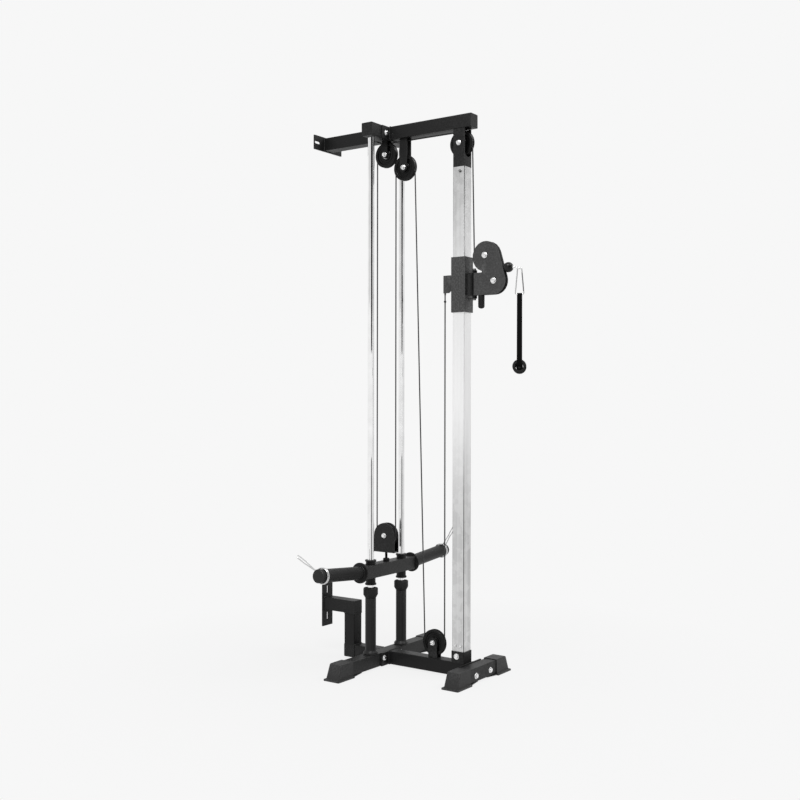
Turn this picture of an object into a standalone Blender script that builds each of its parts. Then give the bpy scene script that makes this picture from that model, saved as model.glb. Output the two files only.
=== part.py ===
"""Wall-mounted cable pulley with a plate-loaded carriage and a swivelling height-adjustable head.

Frame: metres, +Z up, the floor at Z = 0, X = 0 on the middle plane, the wall on the +Y side and
the handle on the -Y side. Distances called stations are measured from the wall towards the front.
"""
import math

import bmesh
import bpy
from mathutils import Matrix, Vector

# Clearances
GAP = 0.0003
RUNNING_GAP = 0.0004

# Square tube and plate
TUBE = 0.050
TUBE_WALL = 0.0025
TUBE_CORNER = 0.003
CORNER_STEPS = 2
WELD_STEP = 0.0004
FLANGE = 0.006
FLANGE_HALF_WIDTH = 0.070
FRONT_FLANGE_RISE = 0.002
BEAM_FLANGE_INSET = 0.002

# Heights
BASE_LIFT = 0.006
BEAM_TOP = 2.060
UPRIGHT_TOP_DROP = 0.190
FRONT_PULLEY_DROP = 0.103
REAR_PULLEY_DROP = 0.101
MIDDLE_PULLEY_DROP = 0.1605
BASE_PULLEY_Z = 0.111

# Stations from the wall
ROD_STATION = 0.296
BASE_PULLEY_STATION = 0.5205
UPRIGHT_STATION = 0.6385
BEAM_PAST_UPRIGHT = 0.0505
FOOT_PAST_UPRIGHT = 0.068

# Top of the frame
WALL_PLATE_HALF_WIDTH = 0.085
WALL_PLATE_HALF_HEIGHT = 0.028
WALL_SLOT_X = 0.066
WALL_SLOT_LENGTH = 0.034
WALL_SLOT_WIDTH = 0.010
CROSSBAR_HALF_LENGTH = 0.127
END_PLUG = 0.004

# Lower wall bracket
LOWER_ARM_Z = 0.202
LOWER_PLATE_HALF_WIDTH = 0.030
LOWER_PLATE_HALF_HEIGHT = 0.091
LOWER_SLOT_Z = 0.053
LOWER_POST_STATION = 0.134

# Base shoes
REAR_BASE_HALF_LENGTH = 0.339
FRONT_FOOT_HALF_LENGTH = 0.188
SHOE_LENGTH = 0.096
SHOE_TOP_SETBACK = 0.029
SHOE_LIP = 0.006
SHOE_LIP_REACH = 0.008
SHOE_SKIN = 0.0025
SHOE_FLARE = 0.0105
SHOE_END = 0.046
TONGUE_LENGTH = 0.060
TONGUE_TIP = 0.0015

# Upright head, foot socket and height holes
HEAD_WALL = 0.004
HEAD_SLOT_CLEARANCE = 0.003
SPIGOT_LENGTH = 0.060
SPIGOT_WALL = 0.003
SOCKET_WALL = 0.0032
SOCKET_HEIGHT = 0.041
HOLE_RADIUS = 0.006
HOLE_SPACING = 0.075
HOLES_BELOW = 14
HOLES_ABOVE = 4

# Guide rods and what stands on them
ROD_HALF_SPACING = 0.100
ROD_RADIUS = 0.0125
ROD_TOP_COVER = 0.010
SPACER_RADIUS = 0.0205
SPACER_TOP = 0.269
SPACER_COLLAR_RADIUS = 0.0275
SPACER_COLLAR = 0.007
BUMPER_RADIUS = 0.0282
BUMPER_HEIGHT = 0.037
BUMPER_TAPER = 0.011

# Pulleys
PITCH_RADIUS = 0.044
RIM_RADIUS = 0.0485
RIM_HALF_WIDTH = 0.008
WEB_HALF_WIDTH = 0.0055
HUB_HALF_WIDTH = 0.010
HUB_RADIUS = 0.013
BOLT_RADIUS = 0.005
BOLT_HEAD_RADIUS = 0.009
BOLT_HEAD = 0.006
STRAP_INNER = 0.011
STRAP_THICKNESS = 0.004
WHEEL_HALF_WIDTHS = (HUB_HALF_WIDTH, RIM_HALF_WIDTH, WEB_HALF_WIDTH)
REAR_STRAP_HALF = 0.0125
MIDDLE_STRAP_HALF = 0.0165
BASE_STRAP_HALF = 0.019

# Cable
CABLE_RADIUS = 0.0025
CABLE_ARC_STEPS = 12

# Carriage
CARRIAGE_Z = 0.370
CARRIAGE_HALF_LENGTH = 0.160
BUSH_RADIUS = 0.0185
BUSH_RIM_RADIUS = 0.0215
BUSH_RIM = 0.006
BUSH_BELOW = 0.052
BUSH_ABOVE = 0.042
HORN_START = 0.164
HORN_LENGTH = 0.251
HORN_RADIUS = 0.0245
HORN_WALL = 0.003
HORN_TILT = math.radians(5.0)
DISC_RADIUS = 0.0385
DISC_THICKNESS = 0.006
FLOATING_AXLE_Z = 0.494
BLOCK_RADIUS = 0.048
BLOCK_DROP = 0.064
BLOCK_BASE = 0.006
STUD_RADIUS = 0.005
BOSS_RADIUS = 0.0125
BOSS_HEIGHT = 0.011

# Spring collars
COLLAR_WIRE = 0.0022
COLLAR_TURNS = 2
COLLAR_POINTS_PER_TURN = 10
COLLAR_PITCH = 0.006
COLLAR_CLEARANCE = 0.0015
COLLAR_FROM_TIP = 0.033
COLLAR_SPREAD = math.radians(25.0)
COLLAR_BEND = 0.010
COLLAR_BEND_STEPS = 3
COLLAR_NECK = 0.0035
COLLAR_GRIP_HALF = 0.0048
COLLAR_TIP_REACH = 0.135
COLLAR_AIM = {"left": math.radians(154.0), "right": math.radians(56.0)}

# Trolley on the upright
SLEEVE = 0.060
SLEEVE_WALL = 0.003
SLEEVE_LENGTH = 0.202
SLEEVE_BOTTOM = 1.338
LINER_RECESS = 0.003
PIN_RISE = 0.101
PIN_RADIUS = 0.0049
PIN_STROKE = 0.010
PIN_KNOB_RADIUS = 0.014
PIN_KNOB = 0.026
HOUSING_RADIUS = 0.011
HOUSING_LENGTH = 0.016
ANCHOR_REACH = 0.050
ANCHOR_RISE = 0.075
ANCHOR_HEIGHT = 0.065
ANCHOR_THICKNESS = 0.006
ANCHOR_NECK = 0.0165
ANCHOR_NECK_RISE = 0.010
ANCHOR_NECK_DROP = 0.003
FERRULE_RADIUS = 0.004
FERRULE_LENGTH = 0.007
BEAD_RADIUS = 0.0045
BEAD_DROP = 0.031

# Swivelling head
CABLE_SLOPE = 0.0085
LUG_RADIUS = 0.0105
LUG_THICKNESS = 0.010
BARREL_LENGTH = 0.082
HINGE_PIN_RADIUS = 0.005
HINGE_PIN_HEAD = 0.007
CABLE_OUT_RISE = 0.1535
HEAD_UPPER_PITCH = 0.049
HEAD_UPPER_RIM = 0.0515
HEAD_LOWER_PITCH = 0.045
HEAD_LOWER_RIM = 0.047
HEAD_WHEEL_HALF_WIDTHS = (0.0072, 0.0066, 0.0046)
LOWER_AXLE_REACH = 0.086
CHEEK_INNER = 0.008
CHEEK_THICKNESS = 0.0025
CHEEK_MARGIN = 0.0035
CHEEK_LEAN = 0.0045
CHEEK_LOWER_MARGIN = 0.002
CHEEK_START = 0.004
NOTCH_ANGLE = 254.0
GRIP_REACH = 0.030
GRIP_RADIUS = 0.012
GRIP_LENGTH = 0.048
GRIP_BLOCK = 0.012
GRIP_BLOCK_HALF = 0.014

# Cable end, hook and handle
BALL_RADIUS = 0.0187
TAIL_START = 0.100
EYE_SHANK = 0.009
EYE_SHANK_RADIUS = 0.004
EYE_RADIUS = 0.010
EYE_WIRE = 0.002
EYE_DROOP = math.radians(27.0)
HOOK_WIRE = 0.0025
HOOK_TOP_RADIUS = 0.0075
HOOK_BAR_HALF = 0.0098
HOOK_CORNER = 0.005
HOOK_LENGTH = 0.0957
HOOK_YAW = math.radians(28.5)
GATE_MARGIN = 0.010
STRAP_BAND = 0.0022
STRAP_WIDTH = 0.0185
STRAP_BEND = 0.0085
STRAP_SEAT = 0.0006
HANDLE_DROP = 0.3555
HANDGRIP_LENGTH = 0.124
HANDGRIP_RADIUS = 0.0175
HANDGRIP_BORE = 0.0135
HANDGRIP_END_RADIUS = 0.0245
HANDGRIP_END = 0.008
HANDGRIP_EDGE = 0.002

# Sides along X
SIDES = (("left", -1), ("right", 1))

# Values worked out from the sizes above
BEAM_BOTTOM = BEAM_TOP - TUBE
BEAM_Z = BEAM_TOP - TUBE / 2
BASE_Z = BASE_LIFT + TUBE / 2
BASE_TOP = BASE_LIFT + TUBE
UPRIGHT_TOP = BEAM_TOP - UPRIGHT_TOP_DROP
FRONT_PULLEY_Z = BEAM_TOP - FRONT_PULLEY_DROP
REAR_PULLEY_Z = BEAM_TOP - REAR_PULLEY_DROP
MIDDLE_PULLEY_Z = BEAM_TOP - MIDDLE_PULLEY_DROP
MIDDLE_PULLEY_STATION = ROD_STATION + 2 * PITCH_RADIUS
STRAP_OUTER = STRAP_INNER + STRAP_THICKNESS
CHEEK_OUTER = CHEEK_INNER + CHEEK_THICKNESS
HEAD_SLOT_BOTTOM = FRONT_PULLEY_Z - RIM_RADIUS - HEAD_SLOT_CLEARANCE
BEAM_END_STATION = UPRIGHT_STATION + BEAM_PAST_UPRIGHT
FOOT_STATION = UPRIGHT_STATION + FOOT_PAST_UPRIGHT
COLLAR_START = HORN_LENGTH - COLLAR_FROM_TIP
SWIVEL_STATION = UPRIGHT_STATION + PITCH_RADIUS + CABLE_SLOPE
PIN_Z = SLEEVE_BOTTOM + PIN_RISE
ANCHOR_BOTTOM = SLEEVE_BOTTOM + ANCHOR_RISE
ANCHOR_TOP = ANCHOR_BOTTOM + ANCHOR_HEIGHT
CABLE_OUT_Z = SLEEVE_BOTTOM + CABLE_OUT_RISE
UPPER_AXLE_Z = CABLE_OUT_Z + HEAD_UPPER_PITCH
LOWER_AXLE_Z = CABLE_OUT_Z - HEAD_LOWER_PITCH
CHEEK_RADIUS = HEAD_UPPER_RIM + CHEEK_MARGIN
CHEEK_LOWER_RADIUS = HEAD_LOWER_RIM + CHEEK_LOWER_MARGIN
BARREL_BOTTOM = LOWER_AXLE_Z - CHEEK_LOWER_RADIUS - GAP
BARREL_TOP = BARREL_BOTTOM + BARREL_LENGTH
CHEEK_UPPER = Vector((HEAD_UPPER_PITCH + CHEEK_LEAN, UPPER_AXLE_Z - CHEEK_LEAN))
CHEEK_LOWER = Vector((LOWER_AXLE_REACH, LOWER_AXLE_Z))


def cheek_tangent_angle():
    """Angle of the cheek's slanted front edge's normal, from the two rounded lobes."""
    line = CHEEK_LOWER - CHEEK_UPPER
    lean = math.asin((CHEEK_RADIUS - CHEEK_LOWER_RADIUS) / line.length)
    return math.atan2(line.y, line.x) + math.pi / 2 - lean


def cheek_front_reach(height):
    """Reach of the cheek's slanted front edge from the swivel axis at a height."""
    angle = cheek_tangent_angle()
    normal = Vector((math.cos(angle), math.sin(angle)))
    foot = CHEEK_UPPER + normal * CHEEK_RADIUS
    return foot.x - (height - foot.y) * normal.y / normal.x


BALL_SEAT = math.sqrt(BALL_RADIUS**2 - CHEEK_INNER**2) + GAP
BALL_REACH = cheek_front_reach(CABLE_OUT_Z) + BALL_SEAT / math.cos(cheek_tangent_angle())
EYE_START = BALL_REACH + BALL_RADIUS + EYE_SHANK
EYE_REACH = EYE_START + EYE_RADIUS * math.cos(EYE_DROOP)
EYE_Z = CABLE_OUT_Z - EYE_RADIUS * math.sin(EYE_DROOP)
HOOK_REACH = EYE_START + 2 * EYE_RADIUS * math.cos(EYE_DROOP)
HANG_Z = CABLE_OUT_Z - 2 * EYE_RADIUS * math.sin(EYE_DROOP)
HOOK_TOP_Z = HANG_Z + EYE_WIRE + GAP + HOOK_WIRE
HOOK_UPPER_Z = HOOK_TOP_Z - HOOK_TOP_RADIUS
HOOK_BAR_Z = HOOK_TOP_Z - HOOK_LENGTH
HOOK_LOWER_Z = HOOK_BAR_Z + HOOK_CORNER
HANDLE_Z = CABLE_OUT_Z - HANDLE_DROP
HANDLE_STATION = SWIVEL_STATION + HOOK_REACH
TOTAL_DEPTH = (
    HANDLE_STATION
    + (HANDGRIP_LENGTH / 2 - HANDGRIP_EDGE) * math.sin(HOOK_YAW)
    + HANDGRIP_END_RADIUS * math.cos(HOOK_YAW)
)
WALL_Y = TOTAL_DEPTH / 2


def at(station, x=0.0, z=0.0):
    """Point at a station from the wall."""
    return Vector((x, WALL_Y - station, z))


def forward(reach, z, x=0.0):
    """Point at a reach in front of the swivel axis."""
    return at(SWIVEL_STATION + reach, x, z)


# Materials
FINISHES = {
    "powder_coat": ((0.035, 0.035, 0.037, 1.0), 0.55, 0.0),
    "chrome": ((0.78, 0.78, 0.79, 1.0), 0.12, 1.0),
    "brushed_chrome": ((0.70, 0.70, 0.71, 1.0), 0.32, 1.0),
    "zinc": ((0.72, 0.72, 0.74, 1.0), 0.28, 1.0),
    "nylon": ((0.02, 0.02, 0.022, 1.0), 0.40, 0.0),
    "rubber": ((0.016, 0.016, 0.017, 1.0), 0.75, 0.0),
    "plastic": ((0.040, 0.040, 0.042, 1.0), 0.50, 0.0),
    "liner": ((0.75, 0.74, 0.70, 1.0), 0.60, 0.0),
    "cable_coat": ((0.015, 0.015, 0.016, 1.0), 0.35, 0.0),
    "webbing": ((0.012, 0.012, 0.013, 1.0), 0.90, 0.0),
}


def clear_scene():
    for item in list(bpy.data.objects):
        bpy.data.objects.remove(item, do_unlink=True)


def material_for(name, finish):
    """Principled material of one sub-part."""
    colour, roughness, metallic = FINISHES[finish]
    material = bpy.data.materials.new(name)
    material.use_nodes = True
    shader = material.node_tree.nodes["Principled BSDF"]
    shader.inputs["Base Color"].default_value = colour
    shader.inputs["Roughness"].default_value = roughness
    shader.inputs["Metallic"].default_value = metallic
    return material


def add_object(name, data):
    item = bpy.data.objects.new(name, data)
    bpy.context.collection.objects.link(item)
    return item


def skin(rings, wrap=False):
    """Mesh through rings of equal point counts, closed by end faces or by wrapping round."""
    shape = bmesh.new()
    rows = [[shape.verts.new(point) for point in ring] for ring in rings]
    count = len(rows[0])
    pairs = list(zip(rows, rows[1:]))
    if wrap:
        pairs.append((rows[-1], rows[0]))
    for lower, upper in pairs:
        for index in range(count):
            after = (index + 1) % count
            shape.faces.new((lower[index], lower[after], upper[after], upper[index]))
    if not wrap:
        shape.faces.new(rows[0])
        shape.faces.new(rows[-1])
    bmesh.ops.recalc_face_normals(shape, faces=shape.faces)
    mesh = bpy.data.meshes.new("skin")
    shape.to_mesh(mesh)
    shape.free()
    return add_object("shape", mesh)


def block(low, high):
    """Plain box between two corners."""
    corners = [
        (low[0], low[1]),
        (high[0], low[1]),
        (high[0], high[1]),
        (low[0], high[1]),
    ]
    return skin([[Vector((x, y, z)) for x, y in corners] for z in (low[2], high[2])])


def rounded_square(half_a, half_b, radius):
    """Closed outline of a rectangle with round corners."""
    points = []
    for quarter, (side_a, side_b) in enumerate(((1, 1), (-1, 1), (-1, -1), (1, -1))):
        for step in range(CORNER_STEPS + 1):
            angle = math.pi / 2 * (quarter + step / CORNER_STEPS)
            points.append(
                (
                    side_a * (half_a - radius) + radius * math.cos(angle),
                    side_b * (half_b - radius) + radius * math.sin(angle),
                )
            )
    return points


def placed(axis, centre, along, a, b):
    """Point at a distance along an axis, offset by a and b across it."""
    if axis == "X":
        return centre + Vector((along, a, b))
    if axis == "Y":
        return centre + Vector((a, along, b))
    return centre + Vector((a, b, along))


def square_bar(axis, centre, start, end, size=TUBE, corner=TUBE_CORNER):
    """Solid square bar along an axis."""
    outline = rounded_square(size / 2, size / 2, corner)
    return skin([[placed(axis, centre, t, a, b) for a, b in outline] for t in (start, end)])


def square_tube(axis, centre, start, end, size=TUBE, wall=TUBE_WALL, corner=TUBE_CORNER):
    """Open square tube along an axis."""
    outer = rounded_square(size / 2, size / 2, corner)
    bore = size / 2 - wall
    inner = rounded_square(bore, bore, max(corner - wall, 0.0005))
    rings = [
        [placed(axis, centre, start, a, b) for a, b in outer],
        [placed(axis, centre, end, a, b) for a, b in outer],
        [placed(axis, centre, end, a, b) for a, b in inner],
        [placed(axis, centre, start, a, b) for a, b in inner],
    ]
    return skin(rings, wrap=True)


def square_stack(axis, centre, levels):
    """Hollow square piece whose levels hold (distance along, half width, corner radius)."""
    rings = []
    for along, half, corner in levels:
        rings.append([placed(axis, centre, along, a, b) for a, b in rounded_square(half, half, corner)])
    return skin(rings, wrap=True)


def turned(direction, centre, profile, segments=16, bored=False):
    """Turned solid: the profile holds (distance along, radius) pairs."""
    turn = Vector(direction).normalized().to_track_quat("Z", "Y").to_matrix()
    rings = []
    for along, radius in profile:
        ring = []
        for step in range(segments):
            angle = 2 * math.pi * (step + 0.5) / segments
            across = Vector((radius * math.cos(angle), radius * math.sin(angle), along))
            ring.append(centre + turn @ across)
        rings.append(ring)
    return skin(rings, wrap=bored)


def cylinder(direction, centre, start, end, radius, segments=16):
    return turned(direction, centre, [(start, radius), (end, radius)], segments)


def slab(outline, low_x, high_x):
    """Plate across X whose outline holds (station, height) pairs."""
    return skin([[at(station, x, z) for station, z in outline] for x in (low_x, high_x)])


def combine(base, tools, operation):
    """Apply Booleans to the base and remove the tools."""
    for tool in tools:
        step = base.modifiers.new("cut", "BOOLEAN")
        step.solver = "EXACT"
        step.operation = operation
        step.object = tool
    graph = bpy.context.evaluated_depsgraph_get()
    graph.update()
    mesh = bpy.data.meshes.new_from_object(base.evaluated_get(graph))
    base.modifiers.clear()
    base.data = mesh
    for tool in tools:
        bpy.data.objects.remove(tool, do_unlink=True)
    return base


def join(base, *tools):
    return combine(base, tools, "UNION")


def cut(base, *tools):
    return combine(base, tools, "DIFFERENCE")


def name_piece(item, name, finish, origin=None):
    """Give a finished shape its name, material, smooth shading and origin."""
    item.name = name
    item.data.name = name
    item.data.materials.clear()
    item.data.materials.append(material_for(name, finish))
    if item.type == "MESH":
        item.data.shade_smooth()
        item.data.set_sharp_from_angle(angle=math.radians(35))
    if origin is not None:
        item.data.transform(Matrix.Translation(-origin))
        item.location = origin
    return item


def wire_route(name, points, radius, finish, sides=1, origin=None):
    """Round wire or cable through points, with filled ends."""
    curve = bpy.data.curves.new(name, "CURVE")
    curve.dimensions = "3D"
    curve.bevel_depth = radius
    curve.bevel_resolution = sides
    curve.render_resolution_u = 0
    curve.use_fill_caps = True
    spline = curve.splines.new("POLY")
    spline.points.add(len(points) - 1)
    for spot, point in zip(spline.points, points):
        spot.co = (*point, 1.0)
    return name_piece(add_object(name, curve), name, finish, origin)


def strap_leg(station, bottom, top, half_width, side, axle_z):
    """One leg of a bent pulley strap, rounded about its axle hole."""
    sign = 1 if side == "right" else -1
    outward = -1 if bottom < axle_z and top > axle_z + half_width else 1
    outline = []
    for step in range(9):
        angle = math.pi * step / 8
        rise = outward * half_width * math.sin(angle)
        outline.append((station + half_width * math.cos(angle), axle_z + rise))
    far = top if outward < 0 else bottom
    outline.append((station - half_width, far))
    outline.append((station + half_width, far))
    low, high = sorted((sign * STRAP_INNER, sign * STRAP_OUTER))
    return slab(outline, low, high)


def bolt_hole(station, z, radius, half_length=0.05):
    return cylinder((1, 0, 0), at(station, 0.0, z), -half_length, half_length, radius, 12)


def strap_pair(station, axle_z, far_z, half_width):
    """Two strap legs with an axle hole, ending at far_z."""
    low, high = min(axle_z, far_z), max(axle_z, far_z)
    if far_z > axle_z:
        low = axle_z - half_width
    else:
        high = axle_z + half_width
    legs = []
    for side in ("left", "right"):
        leg = strap_leg(station, low, high, half_width, side, axle_z)
        legs.append(cut(leg, bolt_hole(station, axle_z, BOLT_RADIUS + RUNNING_GAP)))
    return legs


def slot_cutter(x, z, upright):
    """Round-ended slot through a wall plate."""
    radius = WALL_SLOT_WIDTH / 2
    reach = WALL_SLOT_LENGTH / 2 - radius
    outline = []
    for turn, sign in ((0.0, 1), (math.pi, -1)):
        for step in range(7):
            angle = turn - math.pi / 2 + math.pi * step / 6
            outline.append((sign * reach + radius * math.cos(angle), radius * math.sin(angle)))
    rings = []
    for distance in (-FLANGE, 2 * FLANGE):
        ring = []
        for a, b in outline:
            across, rise = (b, a) if upright else (a, b)
            ring.append(at(distance, x + across, z + rise))
        rings.append(ring)
    return skin(rings)


def flange_plate(start, half_width, low, high):
    """Flange across the end of a tube, from its start station forwards."""
    return block(at(start + FLANGE, -half_width, low), at(start, half_width, high))


# Frame pieces
def build_upper_wall_bracket():
    plate = block(
        at(FLANGE, -WALL_PLATE_HALF_WIDTH, BEAM_Z - WALL_PLATE_HALF_HEIGHT),
        at(0.0, WALL_PLATE_HALF_WIDTH, BEAM_Z + WALL_PLATE_HALF_HEIGHT),
    )
    flange_start = ROD_STATION - TUBE / 2 - GAP - FLANGE
    flange = flange_plate(flange_start, FLANGE_HALF_WIDTH, BEAM_BOTTOM, BEAM_TOP)
    arm = square_bar("Y", at(0.0, 0.0, BEAM_Z), -flange_start - FLANGE / 2, -FLANGE / 2)
    body = join(plate, arm, flange)
    bore = square_bar(
        "Y",
        at(0.0, 0.0, BEAM_Z),
        -flange_start - 2 * FLANGE,
        -FLANGE,
        TUBE - 2 * TUBE_WALL,
        TUBE_CORNER / 2,
    )
    slots = [slot_cutter(side * WALL_SLOT_X, BEAM_Z, False) for side in (-1, 1)]
    name_piece(cut(body, bore, *slots), "upper_wall_bracket", "powder_coat")


def build_top_crossbar():
    centre = at(ROD_STATION, 0.0, BEAM_Z)
    body = square_bar("X", centre, -CROSSBAR_HALF_LENGTH, CROSSBAR_HALF_LENGTH)
    inside = CROSSBAR_HALF_LENGTH - END_PLUG
    bore = square_bar("X", centre, -inside, inside, TUBE - 2 * TUBE_WALL, TUBE_CORNER / 2)
    strap_top = BEAM_BOTTOM + TUBE_WALL / 2
    body = join(body, *strap_pair(ROD_STATION, REAR_PULLEY_Z, strap_top, REAR_STRAP_HALF))
    holes = [
        cylinder(
            (0, 0, 1),
            at(ROD_STATION, side * ROD_HALF_SPACING, BEAM_BOTTOM),
            -TUBE_WALL,
            2 * TUBE_WALL,
            ROD_RADIUS + GAP,
            24,
        )
        for side in (-1, 1)
    ]
    name_piece(cut(body, bore, *holes), "top_crossbar", "powder_coat")


def build_top_beam():
    start = ROD_STATION + TUBE / 2 + GAP
    flange = flange_plate(start, FLANGE_HALF_WIDTH, BEAM_BOTTOM, BEAM_TOP - BEAM_FLANGE_INSET)
    centre = at(0.0, 0.0, BEAM_Z)
    bar = square_bar("Y", centre, -BEAM_END_STATION, -start - FLANGE / 2)
    bore = square_bar(
        "Y",
        centre,
        -BEAM_END_STATION + END_PLUG,
        -start + FLANGE,
        TUBE - 2 * TUBE_WALL,
        TUBE_CORNER / 2,
    )
    legs = strap_pair(
        MIDDLE_PULLEY_STATION, MIDDLE_PULLEY_Z, BEAM_BOTTOM + TUBE_WALL / 2, MIDDLE_STRAP_HALF
    )
    name_piece(cut(join(flange, bar, *legs), bore), "top_beam", "powder_coat")


def build_upright_head():
    centre = at(UPRIGHT_STATION)
    top = BEAM_BOTTOM - GAP
    spigot = TUBE / 2 - TUBE_WALL - GAP
    spigot_end = UPRIGHT_TOP - SPIGOT_LENGTH
    bore = TUBE / 2 - HEAD_WALL
    body = square_stack(
        "Z",
        centre,
        [
            (top, TUBE / 2, TUBE_CORNER),
            (UPRIGHT_TOP, TUBE / 2, TUBE_CORNER),
            (UPRIGHT_TOP, spigot, TUBE_CORNER / 2),
            (spigot_end, spigot, TUBE_CORNER / 2),
            (spigot_end, spigot - SPIGOT_WALL, TUBE_CORNER / 4),
            (UPRIGHT_TOP, spigot - SPIGOT_WALL, TUBE_CORNER / 4),
            (UPRIGHT_TOP + HEAD_WALL, bore, TUBE_CORNER / 4),
            (top, bore, TUBE_CORNER / 4),
        ],
    )
    inner = bore + WELD_STEP
    outline = [(-inner, top + TUBE)]
    for step in range(9):
        angle = math.pi + math.pi * step / 8
        outline.append((inner * math.cos(angle), HEAD_SLOT_BOTTOM + inner + inner * math.sin(angle)))
    outline.append((inner, top + TUBE))
    window = skin(
        [
            [at(station, x, z) for x, z in outline]
            for station in (UPRIGHT_STATION - TUBE, UPRIGHT_STATION + TUBE)
        ]
    )
    axle = bolt_hole(UPRIGHT_STATION, FRONT_PULLEY_Z, BOLT_RADIUS + RUNNING_GAP)
    name_piece(cut(body, window, axle), "upright_head", "powder_coat")


def build_upright():
    body = square_tube("Z", at(UPRIGHT_STATION), BASE_TOP + GAP, UPRIGHT_TOP - GAP)
    holes = [
        cylinder(
            (1, 0, 0),
            at(UPRIGHT_STATION, TUBE / 2, PIN_Z + HOLE_SPACING * index),
            -2 * TUBE_WALL,
            TUBE_WALL,
            HOLE_RADIUS,
            8,
        )
        for index in range(-HOLES_BELOW, HOLES_ABOVE + 1)
    ]
    name_piece(cut(body, *holes), "upright", "brushed_chrome")


def build_base_spine():
    rear = ROD_STATION + TUBE / 2 + GAP
    front = FOOT_STATION - TUBE / 2 - GAP
    centre = at(0.0, 0.0, BASE_Z)
    bar = square_bar("Y", centre, -front + FLANGE / 2, -rear - FLANGE / 2)
    rear_flange = flange_plate(rear, FLANGE_HALF_WIDTH, BASE_LIFT, BASE_TOP)
    front_flange = flange_plate(
        front - FLANGE, FLANGE_HALF_WIDTH, BASE_LIFT, BASE_TOP + FRONT_FLANGE_RISE
    )
    socket = square_tube(
        "Z",
        at(UPRIGHT_STATION),
        BASE_TOP - TUBE_WALL / 2,
        BASE_TOP + SOCKET_HEIGHT,
        TUBE + 2 * (SOCKET_WALL + GAP),
        SOCKET_WALL,
        TUBE_CORNER + SOCKET_WALL,
    )
    legs = strap_pair(
        BASE_PULLEY_STATION, BASE_PULLEY_Z, BASE_TOP - TUBE_WALL / 2, BASE_STRAP_HALF
    )
    body = join(rear_flange, bar, front_flange, socket, *legs)
    bore = square_bar(
        "Y",
        centre,
        -front + FLANGE,
        -rear + FLANGE,
        TUBE - 2 * TUBE_WALL,
        TUBE_CORNER / 2,
    )
    name_piece(cut(body, bore), "base_spine", "powder_coat")


def build_base_tube(name, station, half_length):
    end = half_length - SHOE_END
    tube = square_tube("X", at(station, 0.0, BASE_Z), -end, end)
    name_piece(tube, name, "powder_coat")


def build_shoe(name, station, half_length, side):
    """Plastic shoe pushed over a tube end, flared at its sole, with a tongue under the tube."""
    half_top = TUBE / 2 + SHOE_SKIN + GAP
    half_sole = TUBE / 2 + SHOE_FLARE
    inner = half_length - SHOE_LENGTH
    levels = (
        (0.0, half_length, half_sole),
        (SHOE_LIP, half_length, half_sole),
        (SHOE_LIP + SHOE_SKIN, half_length - SHOE_LIP_REACH, half_top + SHOE_SKIN / 2),
        (BASE_TOP, half_length - SHOE_TOP_SETBACK + SHOE_SKIN, half_top),
        (BASE_TOP + SHOE_SKIN, half_length - SHOE_TOP_SETBACK - SHOE_SKIN, half_top - SHOE_SKIN / 2),
    )
    rings = []
    for z, far, half in levels:
        bevel = TUBE_CORNER
        outline = [
            (inner, -half),
            (far - bevel, -half),
            (far, -half + bevel),
            (far, half - bevel),
            (far - bevel, half),
            (inner, half),
        ]
        rings.append([at(station + across, side * reach, z) for reach, across in outline])
    pocket_half = TUBE / 2 + GAP
    end = half_length - SHOE_END + GAP
    near, far = sorted((side * (inner - TUBE), side * end))
    pocket = block(
        at(station + pocket_half, near, BASE_LIFT - GAP),
        at(station - pocket_half, far, BASE_TOP + GAP),
    )
    top = BASE_LIFT - 2 * GAP
    tongue = skin(
        [
            [
                at(station - half, side * reach, low),
                at(station + half, side * reach, low),
                at(station + half, side * reach, top),
                at(station - half, side * reach, top),
            ]
            for reach, low, half in (
                (inner + SHOE_LENGTH / 4, GAP, half_sole - SHOE_SKIN),
                (inner - TONGUE_LENGTH, top - TONGUE_TIP, TUBE / 2 - SHOE_SKIN),
            )
        ]
    )
    name_piece(join(cut(skin(rings), pocket), tongue), name, "plastic")


def build_lower_wall_bracket():
    """Slotted plate, arm, post and foot stub, hollow all the way through."""
    plate = block(
        at(FLANGE, -LOWER_PLATE_HALF_WIDTH, LOWER_ARM_Z - LOWER_PLATE_HALF_HEIGHT),
        at(0.0, LOWER_PLATE_HALF_WIDTH, LOWER_ARM_Z + LOWER_PLATE_HALF_HEIGHT),
    )
    stub_end = ROD_STATION - TUBE / 2 - GAP
    post_front = LOWER_POST_STATION + TUBE / 2
    post_rear = LOWER_POST_STATION - TUBE / 2

    def run(shrink, end_cover):
        size = TUBE - 2 * shrink
        inside = size - 2 * WELD_STEP
        corner = max(TUBE_CORNER - shrink, TUBE_CORNER / 2)
        rear = -FLANGE / 2 - end_cover
        arm = square_bar("Y", at(0.0, 0.0, LOWER_ARM_Z), -post_front + shrink, rear, size, corner)
        post = square_bar(
            "Z", at(LOWER_POST_STATION), BASE_LIFT + shrink, LOWER_ARM_Z + inside / 2, inside, corner
        )
        stub = square_bar(
            "Y", at(0.0, 0.0, BASE_Z), -stub_end - shrink, -post_rear - shrink - WELD_STEP, size, corner
        )
        return join(post, arm, stub)

    slots = [
        slot_cutter(0.0, LOWER_ARM_Z + side * LOWER_SLOT_Z, True)
        for side in (-1, 1)
    ]
    body = cut(join(plate, run(0.0, 0.0)), run(TUBE_WALL, FLANGE / 2), *slots)
    name_piece(body, "lower_wall_bracket", "powder_coat")


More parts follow.
